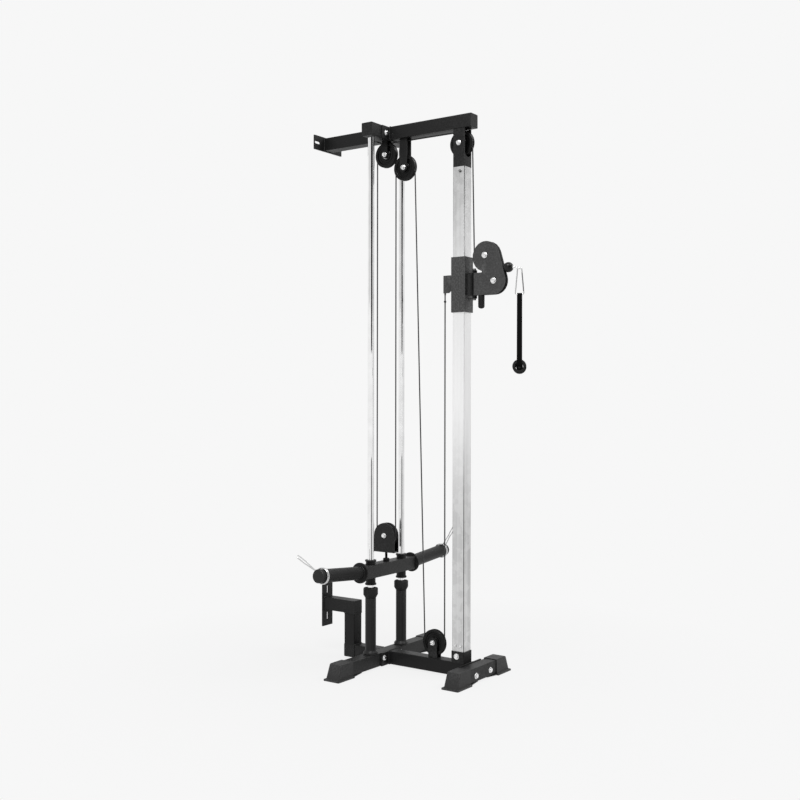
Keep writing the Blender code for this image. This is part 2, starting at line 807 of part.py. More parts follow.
def build_rod_set(name, side):
    """Guide rod with the spacer tube and rubber bumper that stand round it."""
    foot = at(ROD_STATION, side * ROD_HALF_SPACING)
    start = BASE_TOP + GAP
    rod = cylinder((0, 0, 1), foot, start, BEAM_TOP - TUBE_WALL - ROD_TOP_COVER, ROD_RADIUS, 20)
    name_piece(rod, f"guide_rod_{name}", "chrome")
    bore = ROD_RADIUS + GAP
    collar = start + SPACER_COLLAR
    spacer = turned(
        (0, 0, 1),
        foot,
        [
            (start, bore),
            (start, SPACER_COLLAR_RADIUS),
            (collar, SPACER_COLLAR_RADIUS),
            (collar + SPACER_COLLAR, SPACER_RADIUS),
            (SPACER_TOP, SPACER_RADIUS),
            (SPACER_TOP, bore),
        ],
        20,
        bored=True,
    )
    name_piece(spacer, f"rod_spacer_{name}", "powder_coat")
    base = SPACER_TOP + GAP
    top = base + BUMPER_HEIGHT
    bumper = turned(
        (0, 0, 1),
        foot,
        [
            (base, bore),
            (base, SPACER_RADIUS + 0.001),
            (base + BUMPER_TAPER, BUMPER_RADIUS),
            (top - 0.004, BUMPER_RADIUS),
            (top, BUMPER_RADIUS - 0.002),
            (top, BUMPER_RADIUS - 0.006),
            (top - 0.004, bore + 0.004),
            (top - 0.004, bore),
        ],
        20,
        bored=True,
    )
    name_piece(bumper, f"bumper_{name}", "rubber")


# Pulleys and axle bolts
def build_pulley(name, station, z, pitch=PITCH_RADIUS, rim=RIM_RADIUS, half_widths=WHEEL_HALF_WIDTHS):
    """Grooved pulley wheel, turned about X; the half widths are of its hub, rim and web."""
    hub_half, rim_half, web_half = half_widths
    groove = pitch - CABLE_RADIUS - GAP
    floor = CABLE_RADIUS + GAP
    half = [
        (hub_half, BOLT_RADIUS + RUNNING_GAP),
        (hub_half, HUB_RADIUS),
        (web_half, HUB_RADIUS + 0.002),
        (web_half, groove - 0.006),
        (rim_half, groove - 0.003),
        (rim_half, rim - 0.0015),
        ((rim_half + floor) / 2, rim),
        (floor, groove),
    ]
    profile = half + [(-x, radius) for x, radius in reversed(half)]
    centre = at(station, 0.0, z)
    wheel = turned((1, 0, 0), centre, profile, 24, bored=True)
    name_piece(wheel, name, "nylon", centre)


def build_axle_bolt(name, station, z, half_grip):
    """Axle bolt across X with its head on the left and its nut on the right."""
    start = half_grip + GAP
    profile = [
        (-start - BOLT_HEAD, BOLT_HEAD_RADIUS - 0.0015),
        (-start - BOLT_HEAD + 0.0015, BOLT_HEAD_RADIUS),
        (-start, BOLT_HEAD_RADIUS),
        (-start, BOLT_RADIUS),
        (start, BOLT_RADIUS),
        (start, BOLT_HEAD_RADIUS),
        (start + BOLT_HEAD, BOLT_HEAD_RADIUS),
    ]
    name_piece(turned((1, 0, 0), at(station, 0.0, z), profile, 12), name, "zinc")


# Carriage
def build_carriage():
    centre = at(ROD_STATION, 0.0, CARRIAGE_Z)
    body = square_tube("X", centre, -CARRIAGE_HALF_LENGTH, CARRIAGE_HALF_LENGTH)
    spots = {name: centre + Vector((side * ROD_HALF_SPACING, 0, 0)) for name, side in SIDES}
    holes = [
        cylinder((0, 0, 1), spot, -TUBE, TUBE, BUSH_RADIUS + GAP, 20)
        for spot in spots.values()
    ]
    name_piece(cut(body, *holes), "carriage_body", "powder_coat")
    for name, side in SIDES:
        bush = turned(
            (0, 0, 1),
            spots[name],
            [
                (-BUSH_BELOW, ROD_RADIUS + GAP),
                (-BUSH_BELOW, BUSH_RIM_RADIUS),
                (-BUSH_BELOW + BUSH_RIM, BUSH_RIM_RADIUS),
                (-BUSH_BELOW + BUSH_RIM, BUSH_RADIUS),
                (BUSH_ABOVE - BUSH_RIM, BUSH_RADIUS),
                (BUSH_ABOVE - BUSH_RIM, BUSH_RIM_RADIUS),
                (BUSH_ABOVE, BUSH_RIM_RADIUS),
                (BUSH_ABOVE, ROD_RADIUS + GAP),
            ],
            20,
            bored=True,
        )
        name_piece(bush, f"carriage_bushing_{name}", "nylon")
        build_horn(name, side)


def horn_axis(side):
    return Vector((side * math.cos(HORN_TILT), 0.0, math.sin(HORN_TILT)))


def horn_root(side):
    return at(ROD_STATION, side * HORN_START, CARRIAGE_Z)


def build_horn(name, side):
    """Plate horn: stop disc and tube, closed at its tip."""
    bore = HORN_RADIUS - HORN_WALL
    horn = turned(
        horn_axis(side),
        horn_root(side),
        [
            (HORN_LENGTH - END_PLUG, bore),
            (0.0, bore),
            (0.0, DISC_RADIUS),
            (DISC_THICKNESS, DISC_RADIUS),
            (DISC_THICKNESS, HORN_RADIUS),
            (HORN_LENGTH - 0.002, HORN_RADIUS),
            (HORN_LENGTH, HORN_RADIUS - 0.002),
        ],
        24,
    )
    name_piece(horn, f"plate_horn_{name}", "powder_coat")


def build_floating_block():
    """Fork of two tall round-topped plates on a base, with the stud that lifts the carriage."""
    top = FLOATING_AXLE_Z
    bottom = FLOATING_AXLE_Z - BLOCK_DROP
    outline = []
    for step in range(13):
        angle = math.pi * step / 12
        outline.append(
            (ROD_STATION + BLOCK_RADIUS * math.cos(angle), top + BLOCK_RADIUS * math.sin(angle))
        )
    outline.append((ROD_STATION - BLOCK_RADIUS, bottom))
    outline.append((ROD_STATION + BLOCK_RADIUS, bottom))
    left = slab(outline, -STRAP_OUTER, -STRAP_INNER)
    right = slab(outline, STRAP_INNER, STRAP_OUTER)
    middle = (STRAP_INNER + STRAP_OUTER) / 2
    inset = BLOCK_RADIUS - 0.001
    base = block(
        at(ROD_STATION + inset, -middle, bottom + 0.0005),
        at(ROD_STATION - inset, middle, bottom + BLOCK_BASE),
    )
    axle = bolt_hole(ROD_STATION, FLOATING_AXLE_Z, BOLT_RADIUS + RUNNING_GAP)
    name_piece(cut(join(left, base, right), axle), "floating_block", "powder_coat")
    seat = CARRIAGE_Z + TUBE / 2 + GAP
    stud = turned(
        (0, 0, 1),
        at(ROD_STATION),
        [
            (seat, BOSS_RADIUS),
            (seat + BOSS_HEIGHT, BOSS_RADIUS),
            (seat + BOSS_HEIGHT, STUD_RADIUS),
            (bottom - GAP, STUD_RADIUS),
        ],
        12,
    )
    name_piece(stud, "lifting_stud", "zinc")


def least_gap(points, radius):
    """Least clear distance of a wound wire to its own other turns."""
    apart = COLLAR_POINTS_PER_TURN // 2
    best = math.inf
    for index, (start, end) in enumerate(zip(points, points[1:])):
        for other in range(index + apart, len(points) - 1):
            first, second = points[other], points[other + 1]
            for step in range(9):
                spot = start.lerp(end, step / 8)
                run = second - first
                share = max(0.0, min(1.0, (spot - first).dot(run) / run.length_squared))
                best = min(best, (spot - first - run * share).length)
    return best - 2 * radius


def collar_arm():
    """One squeeze arm beside the collar's aim line, as (offset, reach) from the horn's middle."""
    radius = HORN_RADIUS + COLLAR_CLEARANCE + COLLAR_WIRE
    ring_end = Vector((radius * math.sin(COLLAR_SPREAD), radius * math.cos(COLLAR_SPREAD)))
    run = (ring_end.x - COLLAR_NECK) / math.cos(COLLAR_SPREAD)
    corner = Vector((COLLAR_NECK, ring_end.y + run * math.sin(COLLAR_SPREAD)))
    neck = Vector((COLLAR_NECK, corner.y + COLLAR_BEND))
    points = []
    for step in range(1, COLLAR_BEND_STEPS + 1):
        share = step / COLLAR_BEND_STEPS
        points.append(ring_end.lerp(corner, share).lerp(corner.lerp(neck, share), share))
    length = COLLAR_TIP_REACH - neck.y
    for offset, share in (
        (COLLAR_NECK, 0.42),
        (COLLAR_GRIP_HALF, 0.55),
        (COLLAR_GRIP_HALF, 0.92),
        (COLLAR_GRIP_HALF * 0.6, 1.0),
    ):
        points.append(Vector((offset, neck.y + length * share)))
    return points


def build_spring_collar(name, side):
    """Wire spring collar round a horn: nearly two turns whose ends bend out into a narrow grip."""
    axis = horn_axis(side)
    root = horn_root(side)
    up = (Vector((0, 0, 1)) - axis * axis.z).normalized()
    front = axis.cross(up)
    if front.y > 0:
        front.negate()
    radius = HORN_RADIUS + COLLAR_CLEARANCE + COLLAR_WIRE
    aim = COLLAR_AIM[name]
    wound = 2 * math.pi * COLLAR_TURNS - 2 * COLLAR_SPREAD
    length = COLLAR_PITCH * wound / (2 * math.pi)

    def outward(angle):
        return front * math.cos(angle) + up * math.sin(angle)

    def arm(hand, along):
        """Squeeze arm from a ring end, drawn towards the middle of the coil past its bend."""
        points = []
        for index, (offset, reach) in enumerate(collar_arm()):
            depth = along if index < COLLAR_BEND_STEPS else length / 2
            spot = outward(aim) * reach + outward(aim + math.pi / 2) * (offset * hand)
            points.append(root + axis * (COLLAR_START + depth) + spot)
        return points

    steps = COLLAR_TURNS * COLLAR_POINTS_PER_TURN
    points = []
    for step in range(steps + 1):
        share = step / steps
        ring = outward(aim + COLLAR_SPREAD + wound * share) * radius
        points.append(root + axis * (COLLAR_START + length * share) + ring)
    route = list(reversed(arm(1, 0.0))) + points + arm(-1, length)
    print(f"spring collar {name}: least gap to itself {least_gap(route, COLLAR_WIRE) * 1000:.2f} mm")
    wire_route(f"spring_collar_{name}", route, COLLAR_WIRE, "chrome")


# Trolley and head
def build_trolley():
    centre = at(UPRIGHT_STATION)
    half = SLEEVE / 2
    body = square_tube("Z", centre, SLEEVE_BOTTOM, SLEEVE_BOTTOM + SLEEVE_LENGTH, SLEEVE, SLEEVE_WALL)
    rear = UPRIGHT_STATION - half
    tip = rear - ANCHOR_REACH
    anchor = slab(
        [
            (rear + SLEEVE_WALL / 2, ANCHOR_BOTTOM + ANCHOR_NECK_RISE),
            (rear - ANCHOR_NECK, ANCHOR_BOTTOM + ANCHOR_NECK_RISE),
            (rear - ANCHOR_NECK - ANCHOR_NECK_RISE, ANCHOR_BOTTOM),
            (tip, ANCHOR_BOTTOM),
            (tip, ANCHOR_TOP),
            (rear - ANCHOR_NECK - ANCHOR_NECK_DROP, ANCHOR_TOP),
            (rear - ANCHOR_NECK, ANCHOR_TOP - ANCHOR_NECK_DROP),
            (rear + SLEEVE_WALL / 2, ANCHOR_TOP - ANCHOR_NECK_DROP),
        ],
        -ANCHOR_THICKNESS / 2,
        ANCHOR_THICKNESS / 2,
    )
    lugs = []
    for low in (BARREL_TOP + GAP, BARREL_BOTTOM - GAP - LUG_THICKNESS):
        lugs.append(cylinder((0, 0, 1), at(SWIVEL_STATION), low, low + LUG_THICKNESS, LUG_RADIUS, 16))
        web = LUG_RADIUS * 0.98
        lugs.append(
            block(
                at(SWIVEL_STATION, -web, low + 0.0004),
                at(UPRIGHT_STATION + half - SLEEVE_WALL / 2, web, low + LUG_THICKNESS - 0.0004),
            )
        )
    x_axis = (1, 0, 0)
    origin = at(UPRIGHT_STATION, 0.0, PIN_Z)
    end = half + HOUSING_LENGTH
    housing = cylinder(x_axis, origin, half - SLEEVE_WALL / 2, end, HOUSING_RADIUS)
    body = join(body, anchor, *lugs, housing)
    pin_hole = cylinder(
        x_axis, origin, half - 2 * SLEEVE_WALL, 2 * end, PIN_RADIUS + RUNNING_GAP, 12
    )
    hinge_hole = cylinder(
        (0, 0, 1),
        at(SWIVEL_STATION),
        BARREL_BOTTOM - SLEEVE,
        BARREL_TOP + SLEEVE,
        HINGE_PIN_RADIUS + GAP,
        12,
    )
    name_piece(cut(body, pin_hole, hinge_hole), "trolley_sleeve", "powder_coat")

    liner_size = SLEEVE - 2 * SLEEVE_WALL - 2 * GAP
    liner_wall = (liner_size - TUBE) / 2 - GAP
    liner = square_tube(
        "Z",
        centre,
        SLEEVE_BOTTOM + LINER_RECESS,
        SLEEVE_BOTTOM + SLEEVE_LENGTH - LINER_RECESS,
        liner_size,
        liner_wall,
        TUBE_CORNER,
    )
    clear = cylinder(x_axis, origin, TUBE / 4, SLEEVE, PIN_RADIUS + 0.001, 12)
    name_piece(cut(liner, clear), "trolley_liner", "liner")

    face = end + GAP + PIN_STROKE
    nose = TUBE / 2 + RUNNING_GAP
    pin = turned(
        x_axis,
        origin,
        [
            (nose, PIN_RADIUS - 0.001),
            (nose + 0.001, PIN_RADIUS),
            (face, PIN_RADIUS),
            (face, PIN_KNOB_RADIUS - 0.004),
            (face + 0.006, PIN_KNOB_RADIUS - 0.004),
            (face + 0.009, PIN_KNOB_RADIUS),
            (face + PIN_KNOB - 0.003, PIN_KNOB_RADIUS),
            (face + PIN_KNOB, PIN_KNOB_RADIUS - 0.003),
        ],
        12,
    )
    name_piece(pin, "pop_pin", "plastic", origin)

    top = BARREL_TOP + LUG_THICKNESS + 2 * GAP
    bottom = BARREL_BOTTOM - LUG_THICKNESS - 2 * GAP
    hinge = turned(
        (0, 0, 1),
        at(SWIVEL_STATION),
        [
            (bottom - BOLT_HEAD, HINGE_PIN_HEAD),
            (bottom, HINGE_PIN_HEAD),
            (bottom, HINGE_PIN_RADIUS),
            (top, HINGE_PIN_RADIUS),
            (top, HINGE_PIN_HEAD),
            (top + BOLT_HEAD, HINGE_PIN_HEAD),
        ],
        12,
    )
    name_piece(hinge, "hinge_pin", "zinc")


def cheek_outline():
    """Cheek outline in (reach, height): two round lobes, a slanted front and a hinge tab."""
    outline = [(CHEEK_START, BARREL_TOP - GAP)]
    notch = math.radians(NOTCH_ANGLE)
    tangent = cheek_tangent_angle()
    turn_x = CHEEK_UPPER.x + CHEEK_RADIUS * math.cos(notch)
    outline.append((turn_x - 0.002, BARREL_TOP - GAP))
    steps = 14
    for step in range(steps + 1):
        angle = notch + (tangent - notch) * step / steps
        outline.append(
            (
                CHEEK_UPPER.x + CHEEK_RADIUS * math.cos(angle),
                CHEEK_UPPER.y + CHEEK_RADIUS * math.sin(angle),
            )
        )
    steps = 8
    for step in range(steps + 1):
        angle = tangent + (-math.pi / 2 - tangent) * step / steps
        outline.append(
            (
                CHEEK_LOWER.x + CHEEK_LOWER_RADIUS * math.cos(angle),
                CHEEK_LOWER.y + CHEEK_LOWER_RADIUS * math.sin(angle),
            )
        )
    outline.append((CHEEK_START, BARREL_BOTTOM + GAP))
    return [(SWIVEL_STATION + reach, z) for reach, z in outline]


def build_swivel_head():
    """Two cheek plates welded to the hinge barrel and to the block that carries the grip."""
    outline = cheek_outline()
    left = slab(outline, -CHEEK_OUTER, -CHEEK_INNER)
    right = slab(outline, CHEEK_INNER, CHEEK_OUTER)
    low = BARREL_BOTTOM + GAP
    high = BARREL_TOP - GAP
    barrel = cylinder((0, 0, 1), at(SWIVEL_STATION), low, high, LUG_RADIUS, 16)
    middle = (CHEEK_INNER + CHEEK_OUTER) / 2
    web = block(
        forward(GRIP_REACH - GRIP_BLOCK_HALF, low + 0.001, -middle),
        forward(HINGE_PIN_RADIUS + 0.003, high - 0.001, middle),
    )
    grip_block = block(
        forward(GRIP_REACH + GRIP_BLOCK_HALF, low + 0.0006, -middle),
        forward(GRIP_REACH - GRIP_BLOCK_HALF - 0.002, low + GRIP_BLOCK, middle),
    )
    body = join(left, web, barrel, grip_block, right)
    hinge_hole = cylinder(
        (0, 0, 1), at(SWIVEL_STATION), low - 0.01, high + 0.01, HINGE_PIN_RADIUS + GAP, 12
    )
    holes = [
        bolt_hole(SWIVEL_STATION + HEAD_UPPER_PITCH, UPPER_AXLE_Z, BOLT_RADIUS + RUNNING_GAP),
        bolt_hole(SWIVEL_STATION + LOWER_AXLE_REACH, LOWER_AXLE_Z, BOLT_RADIUS + RUNNING_GAP),
    ]
    origin = at(SWIVEL_STATION, 0.0, CABLE_OUT_Z)
    name_piece(cut(body, hinge_hole, *holes), "swivel_head", "powder_coat", origin)
    top = BARREL_BOTTOM
    grip = turned(
        (0, 0, -1),
        forward(GRIP_REACH, top),
        [
            (0.0, GRIP_RADIUS - 0.002),
            (0.002, GRIP_RADIUS),
            (GRIP_LENGTH - GRIP_RADIUS * 0.7, GRIP_RADIUS),
            (GRIP_LENGTH - GRIP_RADIUS * 0.25, GRIP_RADIUS * 0.75),
            (GRIP_LENGTH, GRIP_RADIUS * 0.3),
        ],
        16,
    )
    name_piece(grip, "head_grip", "rubber")


# Cable
def arc(station, z, start, end, radius=PITCH_RADIUS):
    """Cable points round a pulley; angle 0 points to the front and 90 degrees points up."""
    points = []
    for step in range(CABLE_ARC_STEPS + 1):
        angle = start + (end - start) * step / CABLE_ARC_STEPS
        points.append(at(station + radius * math.cos(angle), 0.0, z + radius * math.sin(angle)))
    return points


def inner_tangent_angle(upper, lower):
    """Tangent angle of the cable from the upper pulley's front to the lower pulley's rear."""
    line = Vector(lower) - Vector(upper)
    return math.atan2(line.y, line.x) + math.acos(2 * PITCH_RADIUS / line.length)


def build_cables():
    half = math.pi / 2
    front = UPRIGHT_STATION
    drop_x = front + PITCH_RADIUS
    top_run = arc(front, FRONT_PULLEY_Z, 0.0, half) + arc(ROD_STATION, REAR_PULLEY_Z, half, math.pi)
    wire_route("cable_top_run", top_run, CABLE_RADIUS, "cable_coat")

    rear_x = ROD_STATION - PITCH_RADIUS
    front_x = ROD_STATION + PITCH_RADIUS
    loop = [at(rear_x, 0.0, REAR_PULLEY_Z - GAP)]
    loop += arc(ROD_STATION, FLOATING_AXLE_Z, math.pi, 2 * math.pi)
    loop.append(at(front_x, 0.0, MIDDLE_PULLEY_Z - GAP))
    wire_route("cable_carriage_loop", loop, CABLE_RADIUS, "cable_coat")

    middle = (MIDDLE_PULLEY_STATION, MIDDLE_PULLEY_Z)
    base = (BASE_PULLEY_STATION, BASE_PULLEY_Z)
    slant = inner_tangent_angle(middle, base)
    base_run = arc(*middle, math.pi, slant) + arc(*base, slant + math.pi, 2 * math.pi)
    wire_route("cable_base_run", base_run, CABLE_RADIUS, "cable_coat")

    top = ANCHOR_BOTTOM - GAP
    bead = top - BEAD_DROP
    drop = turned(
        (0, 0, 1),
        at(BASE_PULLEY_STATION + PITCH_RADIUS),
        [
            (BASE_PULLEY_Z + GAP, CABLE_RADIUS),
            (bead - BEAD_RADIUS, CABLE_RADIUS),
            (bead - BEAD_RADIUS / 2, BEAD_RADIUS),
            (bead + BEAD_RADIUS / 2, BEAD_RADIUS),
            (bead + BEAD_RADIUS, CABLE_RADIUS),
            (top - FERRULE_LENGTH, CABLE_RADIUS),
            (top - FERRULE_LENGTH, FERRULE_RADIUS),
            (top, FERRULE_RADIUS),
        ],
        8,
    )
    name_piece(drop, "cable_anchor_drop", "cable_coat")

    swivel = at(SWIVEL_STATION, 0.0, UPPER_AXLE_Z + GAP)
    wire_route(
        "cable_front_drop", [at(drop_x, 0.0, FRONT_PULLEY_Z - GAP), swivel], CABLE_RADIUS, "cable_coat"
    )
    axle = SWIVEL_STATION + HEAD_UPPER_PITCH
    wrap = arc(axle, UPPER_AXLE_Z, math.pi, 1.5 * math.pi, HEAD_UPPER_PITCH)
    wrap.append(forward(TAIL_START, CABLE_OUT_Z))
    wire_route("cable_head_wrap", wrap, CABLE_RADIUS, "cable_coat")


# Cable end and handle
def build_cable_end():
    front = Vector((0, -1, 0))
    ball_centre = forward(BALL_REACH, CABLE_OUT_Z)
    bore = CABLE_RADIUS + GAP
    profile = [(-math.sqrt(BALL_RADIUS**2 - bore**2), bore)]
    for step in range(1, 10):
        angle = math.pi * step / 10
        profile.append((-BALL_RADIUS * math.cos(angle), BALL_RADIUS * math.sin(angle)))
    profile.append((math.sqrt(BALL_RADIUS**2 - bore**2), bore))
    name_piece(turned(front, ball_centre, profile, 16, bored=True), "ball_stop", "rubber")

    start = forward(TAIL_START + GAP, CABLE_OUT_Z)
    ball_front = BALL_REACH + BALL_RADIUS - TAIL_START
    shank = turned(
        front,
        start,
        [
            (0.0, CABLE_RADIUS),
            (ball_front, CABLE_RADIUS),
            (ball_front, EYE_SHANK_RADIUS),
            (ball_front + EYE_SHANK, EYE_SHANK_RADIUS),
        ],
        12,
    )
    centre = forward(EYE_REACH, EYE_Z)
    droop = Vector((0.0, -math.cos(EYE_DROOP), -math.sin(EYE_DROOP)))
    normal = Vector((1, 0, 0)).cross(droop)
    rings = []
    for step in range(16):
        turn = 2 * math.pi * step / 16
        out = Vector((math.cos(turn), 0.0, 0.0)) + droop * math.sin(turn)
        ring = []
        for side in range(8):
            angle = 2 * math.pi * (side + 0.5) / 8
            reach = EYE_RADIUS + EYE_WIRE * math.cos(angle)
            ring.append(centre + out * reach + normal * (EYE_WIRE * math.sin(angle)))
        rings.append(ring)
    eye = join(shank, skin(rings, wrap=True))
    name_piece(eye, "cable_eye", "zinc")


def hook_tangent():
    """Angle of the hook's straight sides' normal above the level."""
    drop = Vector((HOOK_BAR_HALF, HOOK_LOWER_Z - HOOK_UPPER_Z))
    return math.atan2(drop.y, drop.x) + math.acos((HOOK_TOP_RADIUS - HOOK_CORNER) / drop.length)


def build_snap_hook():
    """Wire hook with a flat bottom bar, and its gate, in an upright plane turned about the eye."""
    pivot = at(HANDLE_STATION)
    turn = Matrix.Rotation(HOOK_YAW, 3, "Z")

    def place(across, z):
        return pivot + turn @ Vector((0.0, -across, z))

    lean = hook_tangent()

    def curve(across, z, radius, start, end, steps):
        points = []
        for step in range(steps + 1):
            angle = start + (end - start) * step / steps
            points.append(place(across + radius * math.cos(angle), z + radius * math.sin(angle)))
        return points

    top = curve(0.0, HOOK_UPPER_Z, HOOK_TOP_RADIUS, lean, math.pi - lean, 8)
    rear = curve(-HOOK_BAR_HALF, HOOK_LOWER_Z, HOOK_CORNER, math.pi - lean, 1.5 * math.pi, 4)
    front = curve(HOOK_BAR_HALF, HOOK_LOWER_Z, HOOK_CORNER, -math.pi / 2, lean, 4)
    side = (front[-1] - top[0]).normalized()
    gate_top = top[0] + side * GATE_MARGIN
    gate_bottom = front[-1] - side * GATE_MARGIN / 2
    route = [gate_top] + top + rear + front + [gate_bottom]
    wire_route("snap_hook", route, HOOK_WIRE, "chrome", 1, at(HANDLE_STATION, 0.0, HANG_Z))
    apart = side * 2 * GAP
    gate = [gate_bottom - apart, gate_top + apart]
    wire_route("hook_gate", gate, HOOK_WIRE * 0.9, "chrome", 1, gate_bottom)


def build_handle():
    """Webbing loop through a tube grip, round the hook's bar; the grip's axis is turned with it."""
    pivot = at(HANDLE_STATION)
    turn = Matrix.Rotation(HOOK_YAW, 3, "Z")
    seat = HOOK_WIRE + STRAP_SEAT + STRAP_BAND / 2
    end = HANDGRIP_LENGTH / 2 + GAP + STRAP_BAND
    shoulder = HANDLE_Z + HANDGRIP_END_RADIUS + 0.004
    half_route = []
    for step in range(5):
        angle = math.pi / 2 * step / 4
        half_route.append((seat * math.sin(angle), HOOK_BAR_Z + seat * math.cos(angle)))
    half_route.append((end, shoulder))
    for step in range(4):
        angle = math.pi / 2 * step / 3
        half_route.append(
            (
                end - STRAP_BEND + STRAP_BEND * math.cos(angle),
                HANDLE_Z + STRAP_BEND - STRAP_BEND * math.sin(angle),
            )
        )
    route = half_route + [(-x, z) for x, z in reversed(half_route[1:])]
    rings = []
    count = len(route)
    for index, (x, z) in enumerate(route):
        before = route[index - 1]
        after = route[(index + 1) % count]
        into = Vector((x - before[0], 0.0, z - before[1])).normalized()
        out = Vector((after[0] - x, 0.0, after[1] - z)).normalized()
        along = (into + out).normalized()
        across = Vector((along.z, 0.0, -along.x))
        stretch = STRAP_BAND / 2 / max(0.5, into.dot(along))
        ring = []
        for thick, wide in ((1, 1), (1, -1), (-1, -1), (-1, 1)):
            local = Vector((x, wide * STRAP_WIDTH / 2, z)) + across * (stretch * thick)
            ring.append(pivot + turn @ local)
        rings.append(ring)
    name_piece(skin(rings, wrap=True), "handle_strap", "webbing", at(HANDLE_STATION, 0.0, HOOK_BAR_Z))

    centre = at(HANDLE_STATION, 0.0, HANDLE_Z)
    half = HANDGRIP_LENGTH / 2
    inner = half - HANDGRIP_END
    grip = turned(
        turn @ Vector((1, 0, 0)),
        centre,
        [
            (-half, HANDGRIP_BORE),
            (-half, HANDGRIP_END_RADIUS - HANDGRIP_EDGE),
            (-half + HANDGRIP_EDGE, HANDGRIP_END_RADIUS),
            (-inner - 0.001, HANDGRIP_END_RADIUS),
            (-inner, HANDGRIP_RADIUS - 0.001),
            (0.0, HANDGRIP_RADIUS + 0.0015),
            (inner, HANDGRIP_RADIUS - 0.001),
            (inner + 0.001, HANDGRIP_END_RADIUS),
            (half - HANDGRIP_EDGE, HANDGRIP_END_RADIUS),
            (half, HANDGRIP_END_RADIUS - HANDGRIP_EDGE),
            (half, HANDGRIP_BORE),
        ],
        20,
        bored=True,
    )
    name_piece(grip, "handle_grip", "rubber", centre)


def build():
    clear_scene()
    build_upper_wall_bracket()
    build_top_crossbar()
    build_top_beam()
    build_upright_head()
    build_upright()
    build_base_spine()
    build_lower_wall_bracket()
    for name, station, half_length in (
        ("rear_base", ROD_STATION, REAR_BASE_HALF_LENGTH),
        ("front_foot", FOOT_STATION, FRONT_FOOT_HALF_LENGTH),
    ):
        build_base_tube(f"{name}_tube", station, half_length)
        build_shoe(f"{name}_shoe_left", station, half_length, -1)
        build_shoe(f"{name}_shoe_right", station, half_length, 1)
    build_rod_set("left", -1)
    build_rod_set("right", 1)
    for name, station, z, half_grip in (
        ("rear_top", ROD_STATION, REAR_PULLEY_Z, STRAP_OUTER),
        ("middle_top", MIDDLE_PULLEY_STATION, MIDDLE_PULLEY_Z, STRAP_OUTER),
        ("front_top", UPRIGHT_STATION, FRONT_PULLEY_Z, TUBE / 2),
        ("base", BASE_PULLEY_STATION, BASE_PULLEY_Z, STRAP_OUTER),
        ("floating", ROD_STATION, FLOATING_AXLE_Z, STRAP_OUTER),
    ):
        build_pulley(f"{name}_pulley", station, z)
        build_axle_bolt(f"{name}_axle", station, z, half_grip)
    for name, reach, z, pitch, rim in (
        ("head_upper", HEAD_UPPER_PITCH, UPPER_AXLE_Z, HEAD_UPPER_PITCH, HEAD_UPPER_RIM),
        ("head_lower", LOWER_AXLE_REACH, LOWER_AXLE_Z, HEAD_LOWER_PITCH, HEAD_LOWER_RIM),
    ):
        station = SWIVEL_STATION + reach
        build_pulley(f"{name}_pulley", station, z, pitch, rim, HEAD_WHEEL_HALF_WIDTHS)
        build_axle_bolt(f"{name}_axle", station, z, CHEEK_OUTER)
    build_carriage()
    build_floating_block()
    build_spring_collar("left", -1)
    build_spring_collar("right", 1)
    build_trolley()
    build_swivel_head()
    build_cables()
    build_cable_end()
    build_snap_hook()
    build_handle()


build()
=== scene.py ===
"""Looks of the wall-mounted cable pulley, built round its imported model."""

import math
from math import cos, pi, radians, sin

import bmesh
import bpy
from mathutils import Matrix, Vector


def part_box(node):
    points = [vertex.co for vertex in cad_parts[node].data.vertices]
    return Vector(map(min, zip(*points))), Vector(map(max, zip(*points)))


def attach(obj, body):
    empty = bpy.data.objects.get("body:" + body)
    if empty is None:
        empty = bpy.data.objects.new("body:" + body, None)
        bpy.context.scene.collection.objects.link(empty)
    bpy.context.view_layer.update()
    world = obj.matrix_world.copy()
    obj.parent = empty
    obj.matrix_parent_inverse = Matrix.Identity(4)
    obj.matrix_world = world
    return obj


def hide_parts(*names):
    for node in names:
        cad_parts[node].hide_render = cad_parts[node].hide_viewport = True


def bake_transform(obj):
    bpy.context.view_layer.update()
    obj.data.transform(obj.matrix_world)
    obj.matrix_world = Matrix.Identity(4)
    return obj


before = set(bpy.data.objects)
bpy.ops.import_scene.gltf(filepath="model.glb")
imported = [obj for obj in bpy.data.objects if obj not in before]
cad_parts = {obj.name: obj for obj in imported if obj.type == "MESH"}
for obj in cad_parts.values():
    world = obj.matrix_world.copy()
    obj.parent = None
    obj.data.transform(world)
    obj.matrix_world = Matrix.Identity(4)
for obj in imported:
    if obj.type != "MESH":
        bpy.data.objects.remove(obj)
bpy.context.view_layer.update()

# Wheels, axles and cable
PITCH_RADIUS = 0.044
RIM_RADIUS = 0.0485
RIM_HALF_WIDTH = 0.0080
HUB_HALF_WIDTH = 0.0100
HEAD_UPPER_PITCH = 0.049
HEAD_UPPER_RIM = 0.0515
HEAD_LOWER_PITCH = 0.045
HEAD_LOWER_RIM = 0.047
HEAD_RIM_HALF_WIDTH = 0.0066
HEAD_HUB_HALF_WIDTH = 0.0072
CABLE_RADIUS = 0.0025
CABLE_SIDES = 14
BOLT_RADIUS = 0.005
BOLT_BORE = 0.0054
STRAP_OUTER = 0.015
CHEEK_OUTER = 0.0105
FRAME_BOLT = 0.0140
HEAD_BOLT = 0.0165
GAP = 0.0003
BEAD_DROP = 0.031
BEAD_HALF = 0.0045
FERRULE_LENGTH = 0.007

